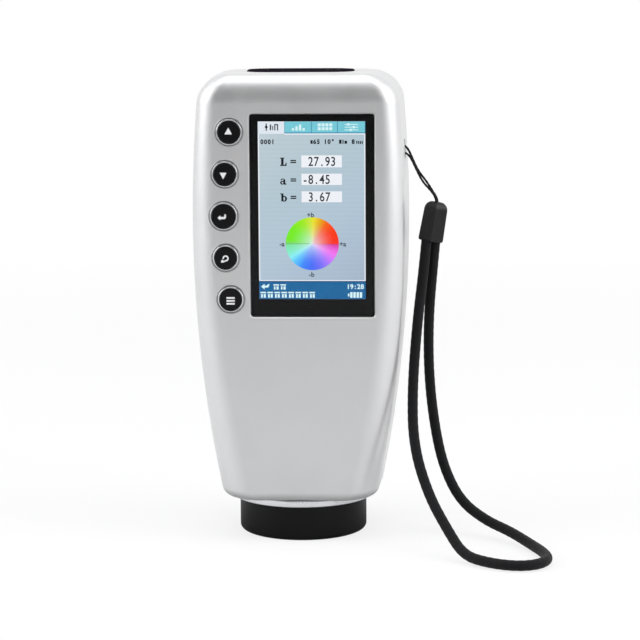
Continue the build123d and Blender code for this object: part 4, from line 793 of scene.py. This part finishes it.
class Screen:
    """Turns display dots, counted from the top left, into millimetres on the panel."""

    def __init__(self):
        glass_low, glass_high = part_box("display_glass")
        self.left = glass_low.x / MM + SCREEN_BORDER_LEFT
        self.right = glass_high.x / MM - SCREEN_BORDER_RIGHT
        self.bottom = glass_low.z / MM + SCREEN_BORDER_BOTTOM
        self.top = glass_high.z / MM - SCREEN_BORDER_TOP
        self.dot = (self.right - self.left) / SCREEN_COLUMNS
        self.rows = (self.top - self.bottom) / self.dot
        self.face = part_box("display_panel")[0].y / MM

    def place(self, column, row):
        return (self.left + column * self.dot, self.top - row * self.dot)

    def depth(self, layer):
        return self.face - LAYER_STEP * layer

    def outline(self, points):
        return [self.place(column, row) for column, row in points]

    def block(self, left, top, right, bottom, corner=0.0):
        """Rectangle in dots, with rounded corners where asked."""
        if corner <= 0.0:
            return self.outline([(left, top), (right, top), (right, bottom), (left, bottom)])
        points = []
        corners = ((right - corner, top + corner, 0), (left + corner, top + corner, 90),
                   (left + corner, bottom - corner, 180), (right - corner, bottom - corner, 270))
        for column, row, start in corners:
            for step in range(CORNER_STEPS + 1):
                angle = radians(start + 90 * step / CORNER_STEPS)
                points.append((column + corner * cos(angle), row - corner * sin(angle)))
        return self.outline(points)

    def blocks(self, *edges):
        """Plain rectangles, each given by its left, top, right and bottom."""
        return [self.block(*four) for four in edges]

    def disc(self, column, row, radius, sides=24):
        turns = [2 * pi * step / sides for step in range(sides)]
        return self.outline([(column + radius * cos(turn), row + radius * sin(turn)) for turn in turns])

    def marks(self, name, outlines, layer, material):
        mesh = prism_mesh(name, outlines, self.depth(layer), MARK_THICKNESS)
        new_piece(name, mesh, material, "housing")

    def words(self, name, lines, layer, material):
        """Signs set in type: each line is (text, column, baseline row, height, width factor, weight)."""
        depth = self.depth(layer)
        form = bmesh.new()
        for text, column, row, height, stretch, weight in lines:
            curve = bpy.data.curves.new(name, "FONT")
            curve.body = text
            curve.size = 1.0
            curve.offset = weight
            curve.align_x = "CENTER" if len(text) == 1 else "LEFT"
            curve.resolution_u = 6
            curve.extrude = 0.5
            holder = placed(name, curve)
            flat = bpy.data.meshes.new_from_object(holder)
            bpy.data.objects.remove(holder)
            bpy.data.curves.remove(curve)
            x, z = self.place(column, row)
            size = height * self.dot / TYPE_HEIGHT_SHARE
            flat.transform(Matrix(((size * stretch * MM, 0, 0, x * MM),
                                   (0, 0, -MARK_THICKNESS * MM, (depth + MARK_THICKNESS / 2) * MM),
                                   (0, size * MM, 0, z * MM),
                                   (0, 0, 0, 1))))
            form.from_mesh(flat)
            bpy.data.meshes.remove(flat)
        bmesh.ops.remove_doubles(form, verts=form.verts, dist=TYPE_JOIN_DISTANCE * MM)
        bmesh.ops.recalc_face_normals(form, faces=form.faces)
        mesh = bpy.data.meshes.new(name)
        form.to_mesh(mesh)
        form.free()
        new_piece(name, mesh, material, "housing")


TAB_EDGES = (59.5, 120.0, 178.0, 240.0)
TAB_BOTTOM = 25.5
FRAME_LEFT, FRAME_RIGHT = 2.6, 237.6
STATUS_TEXTS = (("0001", 9.0), ("65", 127.0), ("10°", 151.0), ("8", 213.0))
STATUS_BASE = 50.0
STATUS_HEIGHT = 9.8
STATUS_PITCH = 8.2
# Each value: its text, middle row, half of its box's height, and its shift in signs
VALUE_ROWS = (("27.93", 89.4, 13.4, 0), ("-8.45", 129.6, 12.6, -1), ("3.67", 168.8, 12.2, 0))
VALUE_LEFT = 117.8
VALUE_PITCH = 12.6
VALUE_HEIGHT = 21.0
VALUE_DROP = 0.6
BOX_LEFT, BOX_RIGHT = 97.0, 187.6
CRESCENT_STEPS = 14
WHEEL_COLUMN, WHEEL_ROW, WHEEL_RADIUS = 120.2, 274.5, 59.8
WHEEL_SIDES = 96
AXIS_SIGNS = (("+b", 108.6, 214.6), ("-b", 112.2, 349.2), ("-a", 46.4, 280.2), ("+a", 181.0, 280.2))
AXIS_SIGN_HEIGHT = 11.0
FOOTER_TOP = 359.6
FOOTER_PITCH = 15.8
# Rows of signs: how many, first column, bar's and posts' upper and lower row, and the posts' two sides
FOOTER_ROWS = (
    (2, 32.0, (366.4, 369.4), (371.2, 378.6), ((1.2, 4.6), (6.8, 11.8))),
    (8, 2.4, (383.6, 386.8), (388.6, 397.0), ((1.4, 5.4), (7.4, 12.2))))


def make_screen():
    screen = Screen()
    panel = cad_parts["display_panel"]
    panel.data.materials[0] = screen_background(screen.top, screen.bottom, screen.left, screen.right)
    dark = glow("screen_dark", srgb(16, 24, 32))
    white = glow("screen_white", srgb(240, 243, 249))
    light_cyan = glow("screen_light_cyan", srgb(214, 244, 248))
    make_border(screen)
    make_tabs(screen, dark, white, light_cyan)
    make_values(screen, dark, white)
    make_status(screen, dark)
    make_wheel(screen)
    make_footer(screen, light_cyan)


def make_tabs(screen, dark, white, light_cyan):
    """A row of tabs, the first of them open, and the pale frame that runs down from it."""
    start = TAB_EDGES[0]
    screen.marks("tab_shadows", [screen.block(start, 0.5, SCREEN_COLUMNS, TAB_BOTTOM + 1.2)], 1,
                 glow("screen_deep_cyan", srgb(72, 148, 178)))
    screen.marks("tabs", [
        screen.block(left + 0.9, 0.8, right - 0.9, TAB_BOTTOM - 1.0, 1.6)
        for left, right in zip(TAB_EDGES, TAB_EDGES[1:])], 2,
        glow("screen_cyan", srgb(120, 203, 218), 0.10, 700.0))
    screen.marks("tab_front", screen.blocks(
        (0, 0, start - 0.5, TAB_BOTTOM + 2.0),
        (start - 0.5, TAB_BOTTOM + 1.4, SCREEN_COLUMNS, TAB_BOTTOM + 4.4)), 2,
        glow("screen_pale", srgb(226, 234, 243)))
    screen.marks("edge_glow", screen.blocks(
        (0, TAB_BOTTOM + 2.0, FRAME_LEFT, FOOTER_TOP),
        (FRAME_RIGHT, TAB_BOTTOM + 4.4, SCREEN_COLUMNS, FOOTER_TOP),
        (FRAME_LEFT, FOOTER_TOP - 2.6, FRAME_RIGHT, FOOTER_TOP - 0.8)), 1, white)
    screen.marks("tab_signs", tab_signs(screen), 3, light_cyan)
    screen.marks("front_tab_sign", front_tab_sign(screen), 3, dark)


def make_values(screen, dark, white):
    """Three measured values in white boxes, with their letters."""
    screen.marks("value_boxes", [
        screen.block(BOX_LEFT, row - half, BOX_RIGHT, row + half) for _, row, half, _ in VALUE_ROWS],
        1, white)
    screen.marks("value_letters", value_letters(screen), 2, dark)
    numbers = []
    for value, row, _, shift in VALUE_ROWS:
        left, base = VALUE_LEFT + shift * VALUE_PITCH, row + VALUE_HEIGHT / 2 - VALUE_DROP
        numbers += spaced(value, left, base, VALUE_HEIGHT, VALUE_PITCH, 0.80, 0.014)
    screen.words("value_numbers", numbers, 2, glow("screen_digits", srgb(44, 50, 58)))


def make_status(screen, dark):
    """The line of small numbers above the values, with plain blocks between them."""
    numbers = []
    for text, column in STATUS_TEXTS:
        numbers += spaced(text, column, STATUS_BASE, STATUS_HEIGHT, STATUS_PITCH, 0.95, 0.05)
    screen.words("status_numbers", numbers, 1, dark)
    screen.marks("status_blocks", screen.blocks(
        (117.6, 42.0, 122.6, 50.0), (181.5, 41.0, 187.0, 50.0), (189.0, 41.0, 191.5, 50.0),
        (193.5, 43.5, 199.5, 50.0), (219.8, 43.5, 222.4, 50.0), (223.8, 44.0, 226.4, 50.5),
        (227.8, 44.0, 230.4, 50.5), (231.8, 44.0, 234.4, 50.5)), 1, dark)


def make_wheel(screen):
    """The wheel of hues, with a sign at each end of its two axes."""
    x, z = screen.place(WHEEL_COLUMN, WHEEL_ROW)
    screen.marks("hue_wheel", [screen.disc(WHEEL_COLUMN, WHEEL_ROW, WHEEL_RADIUS, WHEEL_SIDES)], 1,
                 hue_wheel(x, z, WHEEL_RADIUS * screen.dot))
    screen.words("axis_signs", [
        (text, column, row, AXIS_SIGN_HEIGHT, 1.0, 0.03) for text, column, row in AXIS_SIGNS], 1,
        glow("screen_grey", srgb(72, 84, 94)))
    screen.marks("wheel_axes", [
        screen.block(WHEEL_COLUMN - WHEEL_RADIUS, WHEEL_ROW - 0.7, WHEEL_COLUMN - 6, WHEEL_ROW + 0.7)], 2,
        glow("screen_axis", srgb(112, 196, 130)))


def make_footer(screen, light_cyan):
    """The blue bar along the bottom, with its signs and clock."""
    screen.marks("footer", [screen.block(0, FOOTER_TOP, SCREEN_COLUMNS, screen.rows)], 1,
                 glow("screen_blue", srgb(18, 100, 156), 0.14, 500.0))
    screen.marks("footer_line", [
        screen.block(0, FOOTER_TOP - 0.6, SCREEN_COLUMNS, FOOTER_TOP + 1.6)], 2,
        glow("screen_line_blue", srgb(14, 66, 104)))
    screen.marks("footer_signs", footer_signs(screen), 2, light_cyan)
    screen.words("footer_clock", spaced("19:28", 201.0, 376.6, 10.8, 7.8, 1.0, 0.03), 2, light_cyan)


def spaced(text, column, row, height, pitch, stretch, weight):
    """Signs set one by one at an even pitch, each centred on its own column."""
    return [(sign, column + pitch * number, row, height, stretch, weight)
            for number, sign in enumerate(text)]


def crescent(screen, column, row, outer, inner, start, end):
    """Open ring of a letter, with its outer and inner radii across and down, between two angles."""
    points = []
    for radii, first, last in ((outer, start, end), (inner, end, start)):
        for step in range(CRESCENT_STEPS + 1):
            angle = radians(first + (last - first) * step / CRESCENT_STEPS)
            points.append((column + radii[0] * cos(angle), row - radii[1] * sin(angle)))
    return screen.outline(points)


def value_letters(screen):
    """The three bold letters with feet, and the equals bars beside them."""
    strokes = [
        screen.block(49.2, 80.8, 59.0, 82.8), screen.block(51.6, 82.4, 57.2, 98.2),
        screen.outline([(49.2, 97.0), (60.1, 97.0), (62.0, 92.2), (64.0, 92.2), (63.8, 99.4),
                        (49.2, 99.4)]),
        crescent(screen, 55.2, 131.8, (5.4, 4.2), (2.4, 2.2), -10, 170),
        crescent(screen, 54.2, 137.0, (5.2, 4.4), (1.6, 2.2), 40, 320),
        screen.block(56.2, 131.2, 60.8, 140.4),
        screen.outline([(57.0, 138.6), (60.6, 138.6), (63.8, 139.0), (62.8, 141.3), (58.6, 141.6)]),
        screen.block(49.2, 161.0, 56.4, 163.0), screen.block(51.4, 162.4, 56.4, 179.0),
        crescent(screen, 57.8, 173.0, (6.6, 6.6), (2.2, 4.4), -150, 150)]
    for row in (89.4, 130.8, 169.8):
        for lift in (-3.5, 0.9):
            strokes.append(screen.block(72.4, row + lift, 85.2, row + lift + 2.8))
    return strokes


def make_border(screen):
    """Black print just inside the back of the glass, round the lit picture."""
    low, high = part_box("display_glass")
    left, right = low.x / MM + INK_MARGIN, high.x / MM - INK_MARGIN
    bottom, top = low.z / MM + INK_MARGIN, high.z / MM - INK_MARGIN
    outer = [(left, bottom), (right, bottom), (right, top), (left, top)]
    inner = [(screen.left, screen.bottom), (screen.right, screen.bottom),
             (screen.right, screen.top), (screen.left, screen.top)]
    front = high.y / MM - INK_DEPTH
    vertices, faces = [], []
    for depth in (front, front + INK_THICKNESS):
        for x, z in outer + inner:
            vertices.append((x * MM, depth * MM, z * MM))
    for index in range(4):
        after = (index + 1) % 4
        faces.append((index, after, 4 + after, 4 + index))
        faces.append((8 + index, 12 + index, 12 + after, 8 + after))
        faces.append((index, 8 + index, 8 + after, after))
        faces.append((4 + index, 4 + after, 12 + after, 12 + index))
    mesh = plain_mesh("border_print", vertices, faces)
    new_piece("border_print", mesh, moulded_black("border_ink"), "housing")


def front_tab_sign(screen):
    """Dark strokes on the open tab."""
    return [screen.disc(19.0, 12.5, 3.2, 12)] + screen.blocks(
        (17.8, 4.5, 20.2, 21.0), (27.0, 7.0, 30.0, 19.5), (32.5, 10.0, 34.6, 19.5),
        (37.0, 6.0, 39.4, 20.0), (37.0, 6.0, 45.4, 8.4), (43.0, 6.0, 45.4, 20.0))


def tab_signs(screen):
    """Pale signs on the closed tabs: a bar chart, a swatch grid and sliders."""
    strokes = []
    for number in range(4):
        column = 76.0 + number * 8.0
        strokes.append(screen.block(column, 18.0 - 4.0 * (number % 3) - 3.0, column + 5.4, 20.5))
    for across in range(4):
        for down in range(2):
            column, row = 134.0 + across * 8.6, 4.5 + down * 8.6
            strokes.append(screen.block(column, row, column + 6.8, row + 6.8, 1.0))
    for number in range(3):
        row = 5.0 + number * 6.0
        knob = (200.0, 212.0, 205.0)[number]
        strokes.append(screen.block(194.0, row + 1.2, 224.0, row + 3.0))
        strokes.append(screen.block(knob, row - 0.6, knob + 5.0, row + 4.8, 1.2))
    return strokes


def footer_signs(screen):
    """An arrow, rows of bars over posts, and the battery."""
    strokes = [screen.outline([
        (4, 371.8), (12, 365.2), (12, 369.4), (17, 369.4), (19.6, 366.2), (23.6, 366.2),
        (20, 374.0), (12, 374.0), (12, 378.4)])]
    for count, start, bar, post, sides in FOOTER_ROWS:
        for number in range(count):
            column = start + number * FOOTER_PITCH
            strokes.append(screen.block(column, bar[0], column + 12.8, bar[1]))
            for left, right in sides:
                strokes.append(screen.block(column + left, post[0], column + right, post[1]))
    strokes.append(screen.block(200.0, 387.4, 203.4, 393.8))
    for number in range(4):
        column = 205.0 + number * 7.2
        strokes.append(screen.block(column, 384.0, column + 5.4, 397.0, 0.8))
    return strokes


# Key signs

SIGN_THICKNESS = 0.05
SIGN_LIFT = 0.02

# Each key's sign: how far it stands off the key's middle, across and up, and its outlines
KEY_SIGNS = {
    "key_up": (-0.1, 0.35, [[(-1.25, -1.05), (1.15, -1.05), (-0.05, 1.15)]]),
    "key_down": (-0.4, -0.35, [[(-1.15, 0.9), (1.05, 0.9), (-0.05, -1.25)]]),
    "key_enter": (-0.45, -0.35, [[
        (-1.5, -0.15), (-0.55, 0.65), (-0.55, 0.15), (0.55, 0.15), (0.75, 0.35), (0.75, 1.0),
        (1.3, 1.0), (1.3, -0.1), (0.9, -0.55), (-0.55, -0.55), (-0.55, -0.95)]]),
    "key_back": (-0.15, -0.15, [
        arc_points((0.2, 0.05), 1.0, -120, 195, 22) + arc_points((0.2, 0.05), 0.55, 195, -120, 22),
        [(-1.35, -1.3), (-0.4, -1.25), (0.2, -0.98), (0.0, -0.55), (-0.5, -0.75), (-0.75, -0.35),
         (-1.15, -0.55)]]),
    "key_menu": (0.0, -0.3, [
        [(-1.35, height - 0.28), (1.35, height - 0.28), (1.35, height + 0.28), (-1.35, height + 0.28)]
        for height in (0.85, -0.1, -1.05)])}


def make_keys():
    gloss, ink = moulded_black("key_gloss"), key_print()
    for key, (shift_x, shift_z, outlines) in KEY_SIGNS.items():
        low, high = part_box(key)
        x, z = (low.x + high.x) / 2 / MM + shift_x, (low.z + high.z) / 2 / MM + shift_z
        sign = [[(x + across, z + up) for across, up in outline] for outline in outlines]
        welded(key, key.replace("key_", "cap_of_"), gloss, key)
        mesh = prism_mesh(key + "_sign", sign, low.y / MM - SIGN_LIFT, SIGN_THICKNESS)
        new_piece(key + "_sign", mesh, ink, key)


# Pieces that repeat, made by Geometry Nodes

class Pattern:
    """Geometry Nodes under construction: its sizes are named inputs, and it ends as one plain mesh."""

    def __init__(self, name):
        self.name = name
        self.tree = bpy.data.node_groups.new(name, "GeometryNodeTree")
        self.tree.interface.new_socket("Spots", in_out="INPUT", socket_type="NodeSocketGeometry")
        self.tree.interface.new_socket("Result", in_out="OUTPUT", socket_type="NodeSocketGeometry")
        self.entry = self.tree.nodes.new("NodeGroupInput")
        self.values = {}

    def size(self, name, millimetres):
        """A named input of the tree."""
        socket = self.tree.interface.new_socket(name, in_out="INPUT", socket_type="NodeSocketFloat")
        self.values[socket.identifier] = millimetres * MM
        return self.entry.outputs[name]

    def add(self, kind, inputs=(), **settings):
        return add_node(self.tree, kind, inputs, **settings)

    def math(self, operation, first, second):
        return self.add("ShaderNodeMath", {0: first, 1: second}, operation=operation)

    def mesh(self, result, spots, scales, material, sharp_angle):
        """Runs the tree on spots in millimetres, with a scale each, and keeps the plain result."""
        whole = self.add("GeometryNodeRealizeInstances", {"Geometry": result})
        finished = self.add("GeometryNodeSetMaterial", {"Geometry": whole, "Material": material})
        self.add("NodeGroupOutput", {"Result": finished})
        seed = plain_mesh(self.name, [tuple(part * MM for part in spot) for spot in spots])
        seed.attributes.new("scale", "FLOAT", "POINT").data.foreach_set("value", scales)
        holder = placed(self.name, seed)
        modifier = holder.modifiers.new(self.name, "NODES")
        modifier.node_group = self.tree
        for identifier, value in self.values.items():
            modifier[identifier] = value
        depsgraph = bpy.context.evaluated_depsgraph_get()
        mesh = bpy.data.meshes.new_from_object(holder.evaluated_get(depsgraph))
        bpy.data.objects.remove(holder)
        bpy.data.meshes.remove(seed)
        mesh.shade_smooth()
        mesh.set_sharp_from_angle(angle=radians(sharp_angle))
        return mesh


def make_key_surrounds(material):
    """Polished rings round the keys: a rounded section that runs round a circle at each key."""
    pattern = Pattern("key_surrounds")
    low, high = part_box("key_rings")
    width = pattern.size("Ring width", RING_WIDTH)
    depth = pattern.size("Ring depth", (high.y - low.y) / MM)
    edge = pattern.size("Edge radius", RING_EDGE)
    circle = pattern.add("GeometryNodeCurvePrimitiveCircle", {
        "Resolution": RING_STEPS, "Radius": 1.0})
    radius = pattern.add("GeometryNodeInputNamedAttribute", {"Name": "scale"})
    rings = pattern.add("GeometryNodeInstanceOnPoints", {
        "Points": pattern.entry.outputs["Spots"], "Instance": circle,
        "Rotation": (pi / 2, 0.0, 0.0), "Scale": radius})
    section = pattern.add("GeometryNodeCurvePrimitiveQuadrilateral", {"Width": width, "Height": depth})
    rounded = pattern.add("GeometryNodeFilletCurve", {
        "Curve": section, "Count": RING_EDGE_STEPS, "Radius": edge}, mode="POLY")
    lines = pattern.add("GeometryNodeRealizeInstances", {"Geometry": rings})
    swept = pattern.add("GeometryNodeCurveToMesh", {"Curve": lines, "Profile Curve": rounded})
    spots, radii = [], []
    for key in KEY_SIGNS:
        key_low, key_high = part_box(key)
        middle = (key_low + key_high) / 2 / MM
        spots.append((middle.x, (low.y + high.y) / 2 / MM, middle.z))
        extra = ENTER_KEY_EXTRA if key == "key_enter" else 0.0
        radii.append((KEY_RADIUS + extra + RING_GAP + RING_WIDTH / 2) * MM)
    mesh = pattern.mesh(swept, spots, radii, material, sharp_angle=40)
    new_piece("key_surrounds", mesh, material, "housing", ("key_rings",))


def make_case_screws(material):
    """Pan-head screws with crossed slots, one at the bottom of each well in the rear case."""
    pattern = Pattern("case_screw_set")
    radius = pattern.size("Head radius", SCREW_HEAD_RADIUS)
    height = pattern.size("Head height", SCREW_HEAD_HEIGHT)
    dome = pattern.size("Head dome", SCREW_HEAD_DOME)
    slot_width = pattern.size("Slot width", SCREW_SLOT_WIDTH)
    slot_length = pattern.size("Slot length", SCREW_SLOT_LENGTH)
    slot_depth = pattern.size("Slot depth", SCREW_SLOT_DEPTH)
    shank_radius = pattern.size("Shank radius", SCREW_SHANK_RADIUS)
    shank_length = pattern.size("Shank length", SCREW_SHANK_LENGTH)

    disc = pattern.add("GeometryNodeMeshCylinder", {
        "Vertices": SCREW_HEAD_STEPS, "Fill Segments": SCREW_HEAD_RINGS, "Radius": radius,
        "Depth": height})
    place = pattern.add("ShaderNodeSeparateXYZ", {0: pattern.add("GeometryNodeInputPosition")})
    level = pattern.add("ShaderNodeCombineXYZ", {"X": place.outputs["X"], "Y": place.outputs["Y"]})
    away = pattern.add("ShaderNodeVectorMath", {0: level}, operation="LENGTH").outputs["Value"]
    share = pattern.math("DIVIDE", away, radius)
    fall = pattern.math("MULTIPLY", pattern.math("POWER", share, 2.0), dome)
    upper = pattern.math("GREATER_THAN", place.outputs["Z"], 0.0)
    sink = pattern.math("MULTIPLY", pattern.math("MULTIPLY", fall, upper), -1.0)
    domed = pattern.add("GeometryNodeSetPosition", {
        "Geometry": disc, "Offset": pattern.add("ShaderNodeCombineXYZ", {"Z": sink})})

    lift = pattern.add("ShaderNodeCombineXYZ", {"Z": pattern.math("SUBTRACT", height, slot_depth)})
    slots = []
    for turn in (0.0, pi / 2):
        reach = pattern.add("ShaderNodeCombineXYZ", {"X": slot_length, "Y": slot_width, "Z": height})
        bar = pattern.add("GeometryNodeMeshCube", {"Size": reach})
        slots.append(pattern.add("GeometryNodeTransform", {
            "Geometry": bar, "Rotation": (0.0, 0.0, turn), "Translation": lift}))
    head = pattern.add("GeometryNodeMeshBoolean", {"Mesh 1": domed, "Mesh 2": slots},
                       operation="DIFFERENCE", solver="EXACT")

    shank = pattern.add("GeometryNodeMeshCylinder", {
        "Vertices": SCREW_SHANK_STEPS, "Radius": shank_radius, "Depth": shank_length})
    drop = pattern.math("MULTIPLY", shank_length, -0.5)
    seated = pattern.add("GeometryNodeTransform", {
        "Geometry": shank, "Translation": pattern.add("ShaderNodeCombineXYZ", {"Z": drop})})
    screw = pattern.add("GeometryNodeJoinGeometry", {"Geometry": [head, seated]})
    screws = pattern.add("GeometryNodeInstanceOnPoints", {
        "Points": pattern.entry.outputs["Spots"], "Instance": screw, "Rotation": (-pi / 2, 0.0, 0.0)})
    spots, seat = [], SCREW_SEAT_Y + SCREW_HEAD_HEIGHT / 2
    for z in SCREW_ROWS:
        across = half_width(z) - SCREW_SET_IN
        spots += [(-across, seat, z), (across, seat, z)]
    mesh = pattern.mesh(screws, spots, [1.0] * len(spots), material, sharp_angle=30)
    new_piece("case_screw_set", mesh, material, "housing", ("case_screws",))


# Case

def make_case(paint):
    welded("front_shell", "front_case", paint, "housing", on_skin=True)
    welded("rear_shell", "rear_case", paint, "housing", on_skin=True)
    welded("battery_cover", "battery_lid", paint, "battery_cover", on_skin=True)
    welded("collar", "measuring_collar", collar_metal(), "housing")


def make_cap():
    welded("calibration_cap", "white_cap_cover", moulded_black("cap_black"), "cap")


def make_bead():
    return welded("strap_bead", "cord_bead", moulded_black("bead_black"), "housing",
                  tangent=28.0)


def make_top():
    welded("top_panel", "port_plate", moulded_black("panel_satin"), "housing")
    welded("test_button", "trigger_cap", moulded_black("trigger_gloss"), "test_button")


def dress_solids():
    """Finishes for the solids that show as they are."""
    finishes = {
        "inner_black": moulded_black("inner_black"),
        "board_green": board_lacquer(),
        "chip_black": moulded_black("chip_black"),
        "steel": bare_metal("steel", (0.50, 0.50, 0.50, 1), (0.66, 0.66, 0.65, 1), 0.26, 0.42, 400.0),
        "screw_steel": bare_metal(
            "screw_steel", (0.42, 0.42, 0.43, 1), (0.60, 0.60, 0.61, 1), 0.24, 0.38, 900.0),
        "foam": foam(),
        "cell_wrap": cell_wrap(),
        "sphere_white": matte_white(
            "sphere_white", (0.86, 0.86, 0.85, 1), (0.93, 0.93, 0.92, 1), 0.85, 0.95, 0.04),
        "tile_white": matte_white(
            "tile_white", (0.84, 0.84, 0.82, 1), (0.90, 0.90, 0.885, 1), 0.10, 0.18, 0.004, 0.5),
        "lens_clear": see_through(
            "lens_clear", 1.52, (400.0, 2.0), (0.4, 0.8, 0.0, 0.03), (0.93, 0.96, 1.0, 1)),
        "lamp_white": lamp_phosphor(),
        "display_glass": see_through(
            "display_glass", 1.22, (60.0, 5.0, 0.6), (0.45, 0.75, 0.0, 0.02), (0.975, 0.985, 0.98, 1))}
    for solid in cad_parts.values():
        slot = solid.data.materials[0].name
        if slot in finishes:
            solid.data.materials[0] = finishes[slot]
    return finishes


# Stage and lights

FLOOR_REACH = 6.0
FLOOR_SHADE_NEAR = 0.30
FLOOR_SHADE_FAR = 0.75
# Painted shade that only reflections see: where the dark patch round the object starts to fade, and where
# it is gone
FLOOR_REFLECTED_SHADE_NEAR = 0.035
FLOOR_REFLECTED_SHADE_FAR = 0.085
FLOOR_SHADE = 0.78
# Strength of that painted shade in the floor's reflections
FLOOR_REFLECTED_SHADE = 0.85
CARD_START = 0.70
CARD_TURN = 2.2
CARD_NEAR_HALF_WIDTH = 0.8
CARD_FAR_HALF_WIDTH = 1.7
CARD_TOP = 3.0
CARD_ROUND = 0.5
CARD_STEPS = 10
CARD_LIFT = 0.002
ROOM_COLOR = (0.97, 0.985, 1.0, 1)
ROOM_STRENGTH = 0.42
LIGHT_TARGET = (0.0, 0.0, 0.10)
# Soft lights: name, place, width, height and power
SOFTBOXES = (
    ("left_softbox", (-1.0, -0.25, 0.62), 0.8, 0.9, 6.5),
    ("right_softbox", (1.0, -0.25, 0.62), 0.8, 0.9, 7.5),
    ("top_softbox", (0.0, -0.10, 1.25), 1.1, 0.7, 5.0))


def seen_directly(tree):
    """Light Path value that is 1 for camera, mirror and see-through rays."""
    ray = add_node(tree, "ShaderNodeLightPath").outputs
    first = add_node(tree, "ShaderNodeMath", {
        0: ray["Is Camera Ray"], 1: ray["Is Glossy Ray"]}, operation="MAXIMUM")
    return add_node(tree, "ShaderNodeMath", {0: first, 1: ray["Is Transmission Ray"]}, operation="MAXIMUM")


def make_floor():
    """White floor that keeps the object's shadow and runs out into the white room; close round the object
    it carries a painted shade that only reflections see.
    """
    reach = FLOOR_REACH
    mesh = plain_mesh("floor", [
        (-reach, -reach, 0), (reach, -reach, 0), (reach, reach, 0), (-reach, reach, 0)], [(0, 1, 2, 3)])
    finish = Finish("floor_white", Roughness=0.9, Specular_IOR_Level=0.0)
    away = finish.add("ShaderNodeVectorMath", {0: finish.place()}, operation="LENGTH").outputs["Value"]
    # Painted shade for reflections only: near the object the floor turns dark grey and loses its white
    # glow
    mirrored = finish.add("ShaderNodeLightPath").outputs["Is Glossy Ray"]
    dark = finish.span(away, FLOOR_REFLECTED_SHADE_NEAR, FLOOR_REFLECTED_SHADE_FAR, FLOOR_REFLECTED_SHADE, 0.0)
    under = finish.math("MULTIPLY", mirrored, dark)
    pale = finish.ramp(finish.noise(3.0, 2.0), [
        (0.0, (0.92, 0.92, 0.92, 1)), (1.0, (0.94, 0.94, 0.94, 1))])
    finish.color(finish.between(under, pale, (0.10, 0.10, 0.10, 1)))
    fade = finish.span(away, FLOOR_SHADE_NEAR, FLOOR_SHADE_FAR, FLOOR_SHADE, 1.0)
    seen = finish.math("MULTIPLY", fade, seen_directly(finish.tree))
    glow_share = finish.math("MULTIPLY", seen, finish.math("SUBTRACT", 1.0, under))
    white = finish.add("ShaderNodeEmission", {"Color": (1, 1, 1, 1), "Strength": 1.0})
    mix = finish.add("ShaderNodeMixShader", {0: glow_share, 1: finish.shader, 2: white})
    feed(finish.tree, finish.tree.nodes["Material Output"].inputs["Surface"], mix)
    mesh.materials.append(finish.material)
    floor = placed("floor", mesh)


def make_card():
    """Card that runs from the floor in front up behind the camera, which only reflections see: its glow
    paints the case's reflections, pale from the floor in front and dark from high up behind the camera.
    """
    section = [(-CARD_START, CARD_LIFT), (-CARD_TURN + CARD_ROUND, CARD_LIFT)]
    for step in range(1, CARD_STEPS + 1):
        angle = radians(90 * step / CARD_STEPS)
        section.append((-CARD_TURN + CARD_ROUND - CARD_ROUND * sin(angle),
                        CARD_LIFT + CARD_ROUND * (1 - cos(angle))))
    section.append((-CARD_TURN, CARD_TOP))
    vertices = []
    for y, z in section:
        share = (-y - CARD_START) / (CARD_TURN - CARD_START)
        half = CARD_NEAR_HALF_WIDTH + (CARD_FAR_HALF_WIDTH - CARD_NEAR_HALF_WIDTH) * share
        vertices += [(-half, y, z), (half, y, z)]
    faces = [(2 * i, 2 * i + 1, 2 * i + 3, 2 * i + 2) for i in range(len(section) - 1)]
    mesh = plain_mesh("reflection_glow_card", vertices, faces)
    # Painted reflection: the card glows though it is no lamp, palest near the object and darkest up behind
    # the camera
    finish = Finish("painted_reflection_card", Base_Color=(0.0, 0.0, 0.0, 1.0), Specular_IOR_Level=0.0,
                    Emission_Strength=1.0)
    near = finish.span(finish.parts(finish.place())["Y"], -CARD_TURN, -CARD_START)
    finish.drive("Emission Color", finish.ramp(near, [
        (0.0, (0.03, 0.03, 0.03, 1)), (0.4, (0.41, 0.41, 0.41, 1)), (1.0, (0.85, 0.85, 0.85, 1))]))
    mesh.materials.append(finish.material)
    card = placed("reflection_glow_card", mesh)
    card.visible_camera = False
    card.visible_diffuse = False
    card.visible_shadow = False


def make_lights():
    """Three soft lights, and a room that is white to look at and dimmer as a light."""
    for name, place, width, height, power in SOFTBOXES:
        data = bpy.data.lights.new(name, "AREA")
        data.shape = "RECTANGLE"
        data.size = width
        data.size_y = height
        data.energy = power
        lamp = placed(name, data)
        lamp.location = place
        lamp.rotation_euler = (Vector(LIGHT_TARGET) - Vector(place)).to_track_quat("-Z", "Y").to_euler()
    world = bpy.data.worlds.new("studio")
    bpy.context.scene.world = world
    world.use_nodes = True
    tree = world.node_tree
    tree.nodes.clear()
    room = add_node(tree, "ShaderNodeBackground", {"Color": ROOM_COLOR, "Strength": ROOM_STRENGTH})
    white = add_node(tree, "ShaderNodeBackground", {"Color": (1, 1, 1, 1), "Strength": 1.0})
    mix = add_node(tree, "ShaderNodeMixShader", {0: seen_directly(tree), 1: room, 2: white})
    add_node(tree, "ShaderNodeOutputWorld", {"Surface": mix})
    bpy.context.scene.view_settings.view_transform = "Standard"


make_camera()
make_strap(make_bead())
finishes = dress_solids()
make_case(silver_paint())
make_case_screws(finishes["screw_steel"])
make_screen()
make_keys()
make_key_surrounds(polished_ring())
make_cap()
make_top()
make_floor()
make_card()
make_lights()
